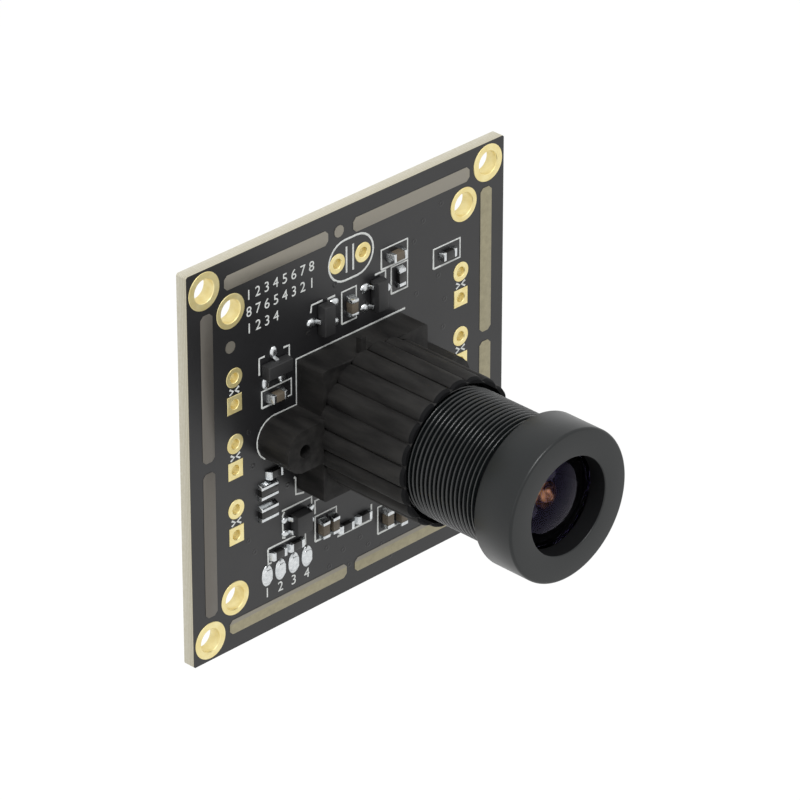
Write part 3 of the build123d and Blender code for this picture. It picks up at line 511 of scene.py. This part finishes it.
lying_chips = [(1.56, 6.46), (-1.64, 6.46), (1.87, -3.35), (-1.64, -3.35), (9.42, 4.6), (-8.64, 11.06),
               (6.23, -6.6)]
standing_chips = [(4.6, 3.43), (-5.6, 3.27), (-6.4, -3.58), (-7.95, -3.58), (3.66, -9.03), (-3.58, -9.03)]
for places, (a, b) in ((lying_chips, CHIP_CLEAR), (standing_chips, CHIP_CLEAR[::-1])):
    back_lines += [box_line(u - a, v - b, u + a, v + b) for u, v in places]
printed_lines("printed_back_outlines", back_lines, BACK)

FIGURE_HEIGHT = 0.95
CAPITAL_SHARE = 0.7  # how high a figure stands for a letter size of 1


def printed_figures(name, figures, face):
    """Plain figures as flat ink on the front or back, from (text, right, up) of each one's lower left."""
    bm = bmesh.new()
    for text, u, v in figures:
        curve = bpy.data.curves.new("figure", "FONT")
        curve.body = text
        curve.size = FIGURE_HEIGHT / CAPITAL_SHARE * MM
        curve.extrude = INK_HEIGHT / 2 * MM
        curve.resolution_u = 4
        letter = bpy.data.objects.new("figure", curve)
        bpy.context.collection.objects.link(letter)
        mesh = bpy.data.meshes.new_from_object(letter.evaluated_get(bpy.context.evaluated_depsgraph_get()))
        bpy.data.objects.remove(letter)
        mesh.transform(Matrix.Translation((u * MM, face * MM, v * MM))
                       @ Matrix.Rotation(0 if face == FRONT else pi, 4, "Z")
                       @ Matrix.Rotation(pi / 2, 4, "X"))
        bm.from_mesh(mesh)
    dress(mesh_piece(name, bm), ink, "module", "solder_mask")


WIRE_PITCH, WIRE_CENTRE = 1.6, (-7.75, -13.4)
figures = [(str(k + 1), WIRE_CENTRE[0] + (k - 1.5) * WIRE_PITCH - 0.35, WIRE_CENTRE[1] - 2.15)
           for k in range(4)]
figures += [("1 2 3 4 5 6 7 8", -12.2, 14.3), ("8 7 6 5 4 3 2 1", -12.2, 12.7), ("1 2 3 4", -12.2, 11.1)]
printed_figures("printed_figures", figures, FRONT)
back_figures = [("1", 3.9, -13.9), ("4", -2.9, -13.9), ("1", 12.6, -9.1), ("2", 12.6, -6.2),
                ("1", -14.9, -9.1), ("2", -14.9, -6.2)]
printed_figures("printed_back_figures", back_figures, BACK)


# Tented vias: small plated holes that join the copper layers. They are covered by the mask, which
# stands a little proud of the ring and dips over the hole.
VIA_PLACES = [(2.2, -15.3), (3.9, -16.0), (-0.9, -14.6), (1.2, -14.2), (-2.9, -13.6), (4.9, -17.6),
              (-0.2, -16.4), (-2.6, -15.6), (7.9, -11.4), (8.8, -13.9), (9.7, -12.2), (10.9, 8.2),
              (8.2, 7.4), (7.9, 12.6), (9.0, 14.2), (11.2, 15.1), (-4.9, 8.4), (-5.4, 4.9),
              (-12.0, 1.6), (-11.7, -1.9), (-12.3, -9.0), (-11.6, -10.4), (9.4, -7.8), (11.2, -9.4),
              (11.7, 5.6), (11.5, 2.9), (-7.6, -5.4), (-8.0, -1.2), (2.0, 8.9), (-1.7, 12.0)]
VIA_WIDTH = 0.62
via_shape = turned("via_shape", [(0, 0.002), (0.08, 0.002), (0.13, 0.02), (0.2, 0.028),
                                 (VIA_WIDTH / 2, 0.001), (VIA_WIDTH / 2, -0.01), (0, -0.01)], 20)
vias = repeated("tented_vias", via_shape, VIA_PLACES, mask_and_edge)
dress(vias, mask_and_edge, "module", "solder_mask")
far_vias = vias.copy()
far_vias.data = vias.data.copy()
far_vias.data.transform(Matrix.Translation((0, (FRONT + BACK) * MM, 0)) @ Matrix.Diagonal((1, -1, 1, 1)))
far_vias.data.flip_normals()
far_vias.name = "tented_vias_behind"
bpy.context.collection.objects.link(far_vias)
dress(far_vias, mask_and_edge, "module", "solder_mask")


# Wire pads: four pads for the wires of a cable, tinned by hand, so each is a low mound of solder.
# Tin solder: bright and slightly cloudy where it froze, with a fine grain
solder, tree, shader, place = new_finish("lead_free_tin_solder", "#D5D8DA", 0.24, Metallic=1.0)
grained(tree, shader, place, 3.5, 3.0, ("#A9AEB2", "#F1F3F3"), relief=(0.35, 0.03))
frozen = add_node(tree, "ShaderNodeTexVoronoi", {"Vector": place, "Scale": 5.0 / MM, "Randomness": 1.0})
gloss = add_node(tree, "ShaderNodeMapRange", {"Value": frozen.outputs["Distance"], "To Min": 0.14,
                                              "To Max": 0.4})
tree.links.new(gloss.outputs[0], shader.inputs["Roughness"])
dress(softened("tinned_wire_pads", "wire_pads", 0.12, segments=4), solder, "module", "solder", "wire_pads")


# Chip parts: fired ceramic bricks with a silvered and tinned cap on each end, held by solder that
# climbs the caps. Resistors carry a black glass coat on top, capacitors are bare brown ceramic.
# Resistor glaze: glossy black, with a slow cloudiness and a soft unevenness
black_glass, *made = new_finish("black_resistor_glaze", "#161616", 0.3)
grained(*made, 5.0, 3.0, ("#0E0E0E", "#262524"), relief=(0.3, 0.03))

# Sintered titanate ceramic: matt grey-brown with tiny dark specks
brown_ceramic, *made = new_finish("sintered_capacitor_ceramic", "#5F554A", 0.62)
grained(*made, 12.0, 4.0, ("#463F37", "#736858"), relief=(0.25, 0.01))

CHIP_EDGE = 0.04
for node, material, slot in (("front_resistors", black_glass, "resistor_ceramic"),
                             ("wide_resistors", black_glass, "resistor_ceramic"),
                             ("back_resistors", black_glass, "resistor_ceramic"),
                             ("front_capacitors", brown_ceramic, "capacitor_ceramic"),
                             ("back_capacitors", brown_ceramic, "capacitor_ceramic"),
                             ("front_end_caps", solder, "solder"), ("back_end_caps", solder, "solder")):
    dress(softened("rounded_" + node, node, CHIP_EDGE), material, "module", slot, node)


# Moulded parts: silicon on a lead frame in black epoxy. The mould leaves a matt skin, and the leads
# are tinned copper bent down to the board in a gull wing.
epoxy, *made = new_finish("black_epoxy_mould_compound", "#1E1E1F", 0.55)
grained(*made, 14.0, 3.0, ("#141415", "#2C2C2D"), relief=(0.35, 0.012))
for node in ("transistors", "regulator", "surge_part", "flash_memory", "bridge_controller"):
    dress(softened("moulded_" + node, node, 0.05), epoxy, "module", "mould_compound", node)
for node in ("transistor_leads", "regulator_leads", "surge_part_leads", "flash_leads",
             "controller_joints"):
    dress(softened("formed_" + node, node, 0.025), solder, "module", "solder", node)


# Solder joints: each foot of a lead stands in a low pillow of tin, drawn out along the lead, where
# the paste melted in the oven. The wire pads have a larger one each, left by the iron.
PILLOW_RISE = 0.22
for name, parts, feet, half, stretch in (
        ("three_lead_solder", [(-9.1, 6.9, 0), (-3.2, 9.35, 90), (3.2, 9.35, -90)],
         [(-0.95, -1.3), (0.95, -1.3), (0, 1.3)], 0.42, 1.45),
        ("four_lead_solder", [(-6.4, -9.35, 90)], [(a, b) for a in (-0.65, 0.65) for b in (-1.5, 1.5)],
         0.34, 1.4),
        ("wire_pad_solder", [(*WIRE_CENTRE, 0)], [(-2.4, 0), (-0.8, 0), (0.8, 0), (2.4, 0)], 0.66, 1.6)):
    pillow = [(0, PILLOW_RISE), (half * 0.5, PILLOW_RISE * 0.95), (half * 0.8, PILLOW_RISE * 0.7),
              (half * 0.96, PILLOW_RISE * 0.3), (half, 0.01), (half, -0.01), (0, -0.01)]
    shape = turned(name + "_shape", pillow, 32)
    shape.data.transform(Matrix.Diagonal((1, 1, stretch, 1)))
    places, turns = [], []
    for u, v, turn in parts:
        c, s = cos(radians(turn)), sin(radians(turn))
        places += [(u + a * c - b * s, v + a * s + b * c) for a, b in feet]
        turns += [turn] * len(feet)
    dress(repeated(name, shape, places, solder, turns), solder, "module", "solder")


# Image sensor: a ceramic package with the silicon die in its well, under a cover glass. It is hidden
# by the holder and seen only through the lens. The crystal's base is made of the same ceramic.
# White alumina: pressed and fired, dull and slightly yellow, with fine pores
alumina, *made = new_finish("white_alumina_ceramic", "#B9B6AC", 0.5)
grained(*made, 15.0, 3.0, ("#A29E92", "#CECBC2"))
for node in ("sensor_package", "crystal_base"):
    dress(softened("fired_" + node, node, 0.06), alumina, "module", "sensor_ceramic", node)

# Polished silicon under a colour mosaic, drawn far coarser than the real one: dark and glossy, with
# faint green and violet squares
silicon, tree, shader, place = new_finish("silicon_die_with_colour_mosaic", "#2A2E36", 0.12, Metallic=0.6)
rows = add_node(tree, "ShaderNodeTexChecker", {"Vector": place, "Scale": 12.0 / MM,
                                               "Color1": linear("#2E3B33"), "Color2": linear("#35303F")})
tree.links.new(rows.outputs["Color"], shader.inputs["Base Color"])
keep("sensor_die", silicon)


# Lens holder: one glass filled nylon moulding. A square base covers the sensor, two ears take the
# screws from behind, and a fluted tube carries the thread of the lens.
# Glass filled nylon: deep black and matt, with the grain of a spark eroded mould and faint streaks
# where the fibres flowed along the tube
nylon_black, tree, shader, place = new_finish("black_glass_filled_nylon", "#1A1918", 0.62,
                                              Specular_IOR_Level=0.25)
grained(tree, shader, place, 9.0, 4.0, gloss=(0.5, 0.75), relief=(0.4, 0.02), Roughness=0.65)
drawn = add_node(tree, "ShaderNodeMapping", {"Vector": place, "Scale": (1, 0.22, 1)})
flow = add_node(tree, "ShaderNodeTexNoise", {"Vector": drawn.outputs[0], "Scale": 0.9 / MM, "Detail": 4.0})
streaks = add_node(tree, "ShaderNodeMapRange", {"Value": flow.outputs["Fac"], "From Min": 0.34,
                                                "From Max": 0.66})
tone = add_node(tree, "ShaderNodeMix", {0: streaks.outputs[0], 6: linear("#0B0A0A"),
                                        7: linear("#242322")}, data_type="RGBA")
tree.links.new(tone.outputs[2], shader.inputs["Base Color"])

BASE_DEPTH, HOLDER_DEPTH = 3.2, 13.2
EAR_DEPTH, EAR_START = 3.71, 6.95
RIB_COUNT, GROOVE_ANGLE = 20, 10.0
RIB_REACH, RIB_SHOULDER, RIB_FACETS = 6.92, 6.62, 12
GROOVE_WIDTH = 1.3  # what the bottom of a groove takes of a rib's share of the round, in degrees
CORE_RADIUS = 6.5
MOUTH_RADIUS, MOUTH_DEPTH, BORE = 6.38, 0.9, 6.07
MOUTH_EDGE = 0.1


def base_face(centre):
    """Whether a face of the CAD holder belongs to its base, its ears or its plain inner walls."""
    depth = FRONT - centre.y
    return depth < BASE_DEPTH + 0.01 or hypot(centre.x, centre.z) < BORE - 0.1 or (
        depth < EAR_DEPTH and abs(centre.x) > EAR_START)


dress(softened("holder_base_and_ears", "lens_holder", 0.14, base_face, 3), nylon_black, "module",
      "holder_plastic", "lens_holder")

tube_wall = [(BORE, BASE_DEPTH + 1.8), (CORE_RADIUS, BASE_DEPTH - 0.1),
             (CORE_RADIUS, HOLDER_DEPTH - MOUTH_EDGE), (CORE_RADIUS - MOUTH_EDGE / 2, HOLDER_DEPTH - 0.01),
             (MOUTH_RADIUS, HOLDER_DEPTH - 0.02), (MOUTH_RADIUS, HOLDER_DEPTH - MOUTH_DEPTH),
             (BORE + 0.1, HOLDER_DEPTH - MOUTH_DEPTH), (BORE, HOLDER_DEPTH - MOUTH_DEPTH - 0.1)]
tube = turned("holder_tube", tube_wall, 120)
dress(tube, nylon_black, "module", "holder_plastic", "lens_holder")

# A rib: crowned across, with its front end rounded over towards the mouth
share = 360 / RIB_COUNT
bm = bmesh.new()
sections = []
for depth, drop in ((BASE_DEPTH - 0.05, 0), (HOLDER_DEPTH - 0.7, 0), (HOLDER_DEPTH - 0.3, 0.06),
                    (HOLDER_DEPTH - 0.08, 0.16), (HOLDER_DEPTH, 0.26)):
    crown = []
    for k in range(RIB_FACETS + 1):
        across = 2 * k / RIB_FACETS - 1
        radius = RIB_SHOULDER + (RIB_REACH - RIB_SHOULDER) * (1 - abs(across)**3) - drop
        a = radians(across * (share - GROOVE_WIDTH) / 2)
        crown.append((radius, a))
    foot = radians((share - GROOVE_WIDTH / 3) / 2)
    crown = [(CORE_RADIUS - 0.1, -foot), *crown, (CORE_RADIUS - 0.1, foot)]
    sections.append([bm.verts.new((r * cos(a) * MM, (FRONT - depth) * MM, r * sin(a) * MM))
                     for r, a in crown])
walled(bm, sections)
bm.faces.new(sections[0])
bm.faces.new(reversed(sections[-1]))
rib_shape = mesh_piece("rib_shape", bm)
ribs = repeated("holder_ribs", rib_shape, [(0, 0)] * RIB_COUNT, nylon_black,
                [GROOVE_ANGLE + (k + 0.5) * share for k in range(RIB_COUNT)])
dress(ribs, nylon_black, "module", "holder_plastic", "lens_holder")


# Screws: two self-tapping screws come through the board from behind into the ears of the holder.
# They are cold headed from steel and zinc plated, with a low pan head and a cross recess.
# Zinc plate: grey-white and fairly bright, slightly uneven in tone and shine
zinc, *made = new_finish("zinc_plated_steel", "#B8BABC", 0.3, Metallic=1.0)
grained(*made, 6.0, 3.0, ("#9C9EA2", "#CDCFD0"), (0.2, 0.45))
SCREW_PITCH, HEAD_RADIUS, HEAD_HEIGHT, SHANK = 18.0, 1.4, 0.9, 0.75
RECESS_HALF, RECESS_WIDTH, RECESS_DEPTH, RECESS_TAPER = 0.8, 0.16, 0.5, 0.75
SCREW_STEPS = 24
bm = bmesh.new()
cross = [(c * u - s * v, s * u + c * v) for c, s in ((1, 0), (0, 1), (-1, 0), (0, -1))
         for u, v in ((RECESS_HALF, -RECESS_WIDTH), (RECESS_HALF, RECESS_WIDTH),
                      (RECESS_WIDTH * 1.4, RECESS_WIDTH * 1.4))]
levels = [(HEAD_RADIUS * 0.97, 0), (HEAD_RADIUS, 0.12), (HEAD_RADIUS, 0.35), (HEAD_RADIUS * 0.93, 0.62),
          (HEAD_RADIUS * 0.78, 0.8), (HEAD_RADIUS * 0.6, HEAD_HEIGHT - 0.02)]
head = [round_row(bm, radius, BACK + height, SCREW_STEPS) for radius, height in levels]
walled(bm, head)
mouth = [bm.verts.new((u * MM, (BACK + HEAD_HEIGHT) * MM, v * MM)) for u, v in cross]
floor_y = (BACK + HEAD_HEIGHT - RECESS_DEPTH) * MM
well = [bm.verts.new((u * RECESS_TAPER * MM, floor_y, v * RECESS_TAPER * MM)) for u, v in cross]
top_edges = [bm.edges.get((head[-1][k - 1], head[-1][k])) for k in range(SCREW_STEPS)]
mouth_edges = [bm.edges.new((mouth[k - 1], mouth[k])) for k in range(len(cross))]
bmesh.ops.triangle_fill(bm, use_beauty=True, edges=top_edges + mouth_edges)
walled(bm, [mouth, well])
bm.faces.new(well)
shank = [round_row(bm, radius, BACK - depth, SCREW_STEPS)
         for radius, depth in ((HEAD_RADIUS * 0.97, 0), (SHANK, 0), (SHANK, 3.4), (SHANK * 0.6, 3.9))]
walled(bm, shank)
bm.faces.new(shank[-1])
screws = repeated("holder_screws_with_recess", mesh_piece("screw_shape", bm),
                  [(-SCREW_PITCH / 2, 0), (SCREW_PITCH / 2, 0)], zinc, [20, 65])
dress(screws, zinc, "module", "screw_steel", "holder_screws")


# Lens barrel: turned from aluminium bar and anodised black. The M12 thread with its 0.5 pitch runs
# from the nose to a relief groove under the wide head, and the front opening is stepped.
# Black anodised aluminium: a dense satin film that keeps the fine rings of the turning tool
anodised, tree, shader, place = new_finish("black_anodised_aluminium", "#0F1213", 0.36,
                                           Specular_IOR_Level=0.42)
spread = add_node(tree, "ShaderNodeSeparateXYZ", {0: place})
squares = add_node(tree, "ShaderNodeMath", {0: spread.outputs["X"], 1: spread.outputs["X"]},
                   operation="MULTIPLY")
squares = add_node(tree, "ShaderNodeMath", {0: spread.outputs["Z"], 1: spread.outputs["Z"],
                                            2: squares.outputs[0]}, operation="MULTIPLY_ADD")
radius_out = add_node(tree, "ShaderNodeMath", {0: squares.outputs[0]}, operation="SQRT")
travel = add_node(tree, "ShaderNodeMath", {0: radius_out.outputs[0], 1: spread.outputs["Y"]},
                  operation="SUBTRACT")
rings_at = add_node(tree, "ShaderNodeCombineXYZ", {"X": travel.outputs[0]})
grained(tree, shader, place, 14.0, 3.0, gloss=(0.28, 0.44), relief=(0.12, 0.01),
        Vector=rings_at.outputs[0])
grained(tree, shader, place, 10.0, 2.0, ("#0A0D0E", "#161A1B"))

LENS_REAR, LENS_FRONT = 7.4, 26.1
THREAD_RADIUS, THREAD_PITCH, THREAD_DEPTH = 6.0, 0.5, 0.29
HEAD_REAR, HEAD_REACH = 21.8, 7.05
NECK_REAR, NECK_RADIUS = 21.2, 5.5
OPENING, LIP_LEVEL, LENS_BORE = 4.5, 24.3, 4.9
HEAD_ROUND, OPENING_ROUND = 0.26, 0.12


def round_edge(radius, size, way):
    """Points of a front edge rounded by size: way is 1 at the outside and -1 at the opening."""
    turns = [radians(15 * k) for k in range(7)]
    points = [(radius - way * size * (1 - cos(a)), LENS_FRONT - size * (1 - sin(a))) for a in turns]
    return points if way > 0 else points[::-1]


core = THREAD_RADIUS - THREAD_DEPTH
barrel_outline = [
    (LENS_BORE, LENS_REAR), (5.4, LENS_REAR), (core, LENS_REAR + 0.4), (core, NECK_REAR),
    (NECK_RADIUS, NECK_REAR + 0.08), (NECK_RADIUS, HEAD_REAR), (HEAD_REACH - 0.16, HEAD_REAR),
    (HEAD_REACH - 0.05, HEAD_REAR + 0.05), (HEAD_REACH, HEAD_REAR + 0.16),
    *round_edge(HEAD_REACH, HEAD_ROUND, 1), *round_edge(OPENING, OPENING_ROUND, -1),
    (OPENING, LIP_LEVEL + 0.05), (LENS_BORE, LIP_LEVEL),
]
barrel = turned("lens_barrel_turned", barrel_outline, 160)
dress(barrel, anodised, "lens_barrel", "lens_aluminium", "lens_barrel")

# The bore and the walls of the opening are lacquered to swallow stray light, and their near black is also
# painted shade. The same near black is painted shade on the core between the turns of the thread, the
# groove under the head, the mouth and front of the holder's tube and the front ends of its ribs.
# Matt black lacquer: nearly no shine, slightly uneven where it was brushed on
lacquer_black_and_painted_shade, *made = new_finish("matt_black_lacquer_with_painted_shade", "#08090A", 0.75, Specular_IOR_Level=0.15)
grained(*made, 10.0, 3.0, ("#050506", "#0D0E10"))
# the faces that get the near black: lacquer and painted shade in the bore and the opening, painted shade
# on the rest
for piece, dark in ((barrel, lambda r, n: r < LENS_BORE + 0.02 and n < LENS_FRONT - 0.1
                     or r < THREAD_RADIUS - 0.1 and n < HEAD_REAR),
                    (tube, lambda r, n: r < MOUTH_RADIUS + 0.02 or n > HOLDER_DEPTH - 0.03),
                    (ribs, lambda r, n: n > HOLDER_DEPTH - 0.2)):
    piece.data.materials.append(lacquer_black_and_painted_shade)
    for face in piece.data.polygons:
        if dark(hypot(face.center.x, face.center.z) / MM, FRONT - face.center.y / MM):
            face.material_index = 1

# The crests of the thread are burnished by the holder: darker film, but a sharper shine on the edges
burnished, *made = new_finish("burnished_anodised_thread", "#0B0D0E", 0.24, Specular_IOR_Level=0.6)
grained(*made, 1.5, 4.0, ("#080A0B", "#171B1C"), (0.14, 0.26))
ROOT_SHARE, CREST_SHARE, CREST_ROUND = 0.84, 0.24, 0.045

# One tree winds the thread: a helix swept with the crest of the thread
thread_tree, given = new_tree("screw_thread", ("Radius", "NodeSocketFloat"), ("Pitch", "NodeSocketFloat"),
                              ("Turns", "NodeSocketFloat"), ("Depth", "NodeSocketFloat"),
                              ("Start", "NodeSocketFloat"))
run = add_node(thread_tree, "ShaderNodeMath", {0: given.outputs["Pitch"], 1: given.outputs["Turns"]},
               operation="MULTIPLY")
helix = add_node(thread_tree, "GeometryNodeCurveSpiral",
                 {"Resolution": 96, "Rotations": given.outputs["Turns"], "Height": run.outputs[0],
                  "Start Radius": given.outputs["Radius"], "End Radius": given.outputs["Radius"]})
helix = add_node(thread_tree, "GeometryNodeSetCurveNormal", {"Curve": helix.outputs[0]}, mode="Z_UP")
broad = add_node(thread_tree, "ShaderNodeMath", {0: given.outputs["Pitch"], 1: ROOT_SHARE},
                 operation="MULTIPLY")
narrow = add_node(thread_tree, "ShaderNodeMath", {0: given.outputs["Pitch"], 1: CREST_SHARE},
                  operation="MULTIPLY")
crest = add_node(thread_tree, "GeometryNodeCurvePrimitiveQuadrilateral",
                 {"Height": given.outputs["Depth"], "Bottom Width": broad.outputs[0],
                  "Top Width": narrow.outputs[0], "Offset": 0.0}, mode="TRAPEZOID")
crest = add_node(thread_tree, "GeometryNodeFilletCurve",
                 {"Curve": crest.outputs[0], "Count": 2, "Radius": CREST_ROUND * MM, "Limit Radius": True},
                 mode="POLY")
crest = add_node(thread_tree, "GeometryNodeTransform", {"Geometry": crest.outputs[0],
                                                        "Rotation": (0, 0, pi / 2)})
wound = add_node(thread_tree, "GeometryNodeCurveToMesh",
                 {"Curve": helix.outputs[0], "Profile Curve": crest.outputs[0], "Fill Caps": True})
start = add_node(thread_tree, "ShaderNodeCombineXYZ", {"Y": given.outputs["Start"]})
laid = add_node(thread_tree, "GeometryNodeTransform", {"Geometry": wound.outputs[0],
                                                       "Translation": start.outputs[0],
                                                       "Rotation": (pi / 2, 0, 0)})
finish_tree(thread_tree, given, laid.outputs[0])
THREAD_REAR = LENS_REAR + 0.9
turns = (NECK_REAR - 0.25 - THREAD_REAR) / THREAD_PITCH
thread = grown("lens_thread", thread_tree, bpy.data.meshes.new("thread_start"),
               Radius=(THREAD_RADIUS - THREAD_DEPTH / 2 - 0.005) * MM, Pitch=THREAD_PITCH * MM,
               Turns=turns, Depth=(THREAD_DEPTH + 0.02) * MM, Start=(FRONT - THREAD_REAR) * MM,
               Finish=burnished)
dress(thread, burnished, "lens_barrel", "lens_aluminium", "lens_barrel")


# Lens stack: four glasses with black spacers, a stop and a threaded retaining ring behind them.
# Coated glass: clear, with antireflection films that leave only a weak violet reflection. The IOR is
# lower than that of glass, because it then reflects as little as such a film does
coated_glass, *made = new_finish("coated_optical_glass", "#FFFFFF", 0.0, IOR=1.2, Transmission_Weight=1.0,
                                 Specular_Tint=linear("#9A7CFF"))
grained(*made, 0.6, 3.0, ("#FFFFFF", "#EEECF6"))


def sag(radius, curve):
    """How far a ball of radius curve falls away at a radius from its middle."""
    return abs(curve) - sqrt(curve**2 - radius**2)


# The hollow middle of the front glass's rear face carries a reflecting amber film, and its colour is
# mottled dark and light as a painted reflection of the room seen small
amber, tree, shader, place = new_finish("amber_film_with_painted_reflection", "#A86A40", 0.22, Metallic=0.9)
# painted reflection: a noise between dark and light amber in the film's colour
room = add_node(tree, "ShaderNodeTexNoise", {"Vector": place, "Scale": 1.9 / MM, "Detail": 1.0})
tone = add_node(tree, "ShaderNodeMapRange", {"Value": room.outputs["Fac"], "From Min": 0.35,
                                             "From Max": 0.65})
tone = add_node(tree, "ShaderNodeMix", {0: tone.outputs[0], 6: linear("#4A2E22"),
                                        7: linear("#A87858")}, data_type="RGBA")
tree.links.new(tone.outputs[2], shader.inputs["Base Color"])

DIP_RADIUS, DIP_HEIGHT, DIP_STEPS = 1.15, 0.8, 6
APERTURE, GLASS_RADIUS = 4.3, 4.85
GLASS_STEPS = 10


def lens_face(level, curve, outward):
    """Points from the axis to the aperture of a glass face that bulges or is hollow by curve."""
    if not curve:
        return [(APERTURE * k / GLASS_STEPS, level) for k in (0, GLASS_STEPS)]
    edge = sag(APERTURE, curve)
    way = outward if curve > 0 else -outward
    return [(APERTURE * k / GLASS_STEPS, level + way * (edge - sag(APERTURE * k / GLASS_STEPS, curve)))
            for k in range(GLASS_STEPS + 1)]


for node, low, high, rear_curve, front_curve in (
        ("front_element", 22.38, 24.28, -16.0, 9.0), ("second_element", 18.98, 20.58, -15.0, -15.0),
        ("third_element", 16.13, 17.63, 14.0, 14.0), ("rear_element", 11.53, 13.13, 0, 17.0)):
    rear_face = lens_face(low, rear_curve, -1)
    if node == "front_element":
        dip = [(DIP_RADIUS * k / DIP_STEPS, rear_face[0][1] + DIP_HEIGHT * (1 - (k / DIP_STEPS)**2))
               for k in range(DIP_STEPS + 1)]
        rear_face = dip + [point for point in rear_face if point[0] > DIP_RADIUS + 0.1]
    outline = [*rear_face, (GLASS_RADIUS, low), (GLASS_RADIUS, high),
               *lens_face(high, front_curve, 1)[::-1]]
    glass = turned("polished_" + node, outline)
    dress(glass, coated_glass, "lens_glass", "optical_glass", node)
    if node == "front_element":
        glass.data.materials.append(amber)
        for face in glass.data.polygons:
            if hypot(face.center.x, face.center.z) < DIP_RADIUS * MM and face.center.y / MM > FRONT - high:
                face.material_index = 1

for node in ("front_spacer", "aperture_stop", "middle_spacer", "rear_spacer", "retaining_ring"):
    keep(node, lacquer_black_and_painted_shade)
keep("sensor_cover_glass", coated_glass)

# Infrared cut filter: blue-green glass that shows a red reflection
filter_glass, *made = new_finish("infrared_cut_filter_glass", "#BFE8E4", 0.02, IOR=1.52,
                                 Transmission_Weight=1.0)
grained(*made, 0.5, 2.0, ("#B4E4E0", "#C9ECE4"))
keep("ir_cut_filter", filter_glass)


# Wire connector on the back: a moulded nylon shroud with four tinned contacts, soldered to the board
# by the contacts and by two tabs.
# Natural nylon: ivory and slightly cloudy, with a soft gloss
ivory, *made = new_finish("natural_nylon", "#E4DFD0", 0.42, Subsurface_Weight=0.1,
                          Subsurface_Scale=0.5 * MM)
grained(*made, 2.0, 3.0, ("#D8D2C1", "#EDE9DC"), relief=(0.1, 0.02))
dress(softened("connector_shroud", "wire_connector", 0.08), ivory, "module", "nylon", "wire_connector")
for node in ("connector_contacts", "connector_tabs"):
    dress(softened("stamped_" + node, node, 0.04), solder, "module", "solder", node)


# Crystal: a quartz blank closed in under a pressed kovar lid, which is nickel plated and welded along
# its seam to the ceramic base.
# Nickel plate: warm grey, with an uneven shine from the welding rollers
lid, *made = new_finish("nickel_plated_lid", "#BDB8AC", 0.28, Metallic=1.0)
grained(*made, 9.0, 3.0, gloss=(0.18, 0.4))
dress(softened("crystal_lid_plated", "crystal_lid", 0.06), lid, "module", "lid_metal", "crystal_lid")
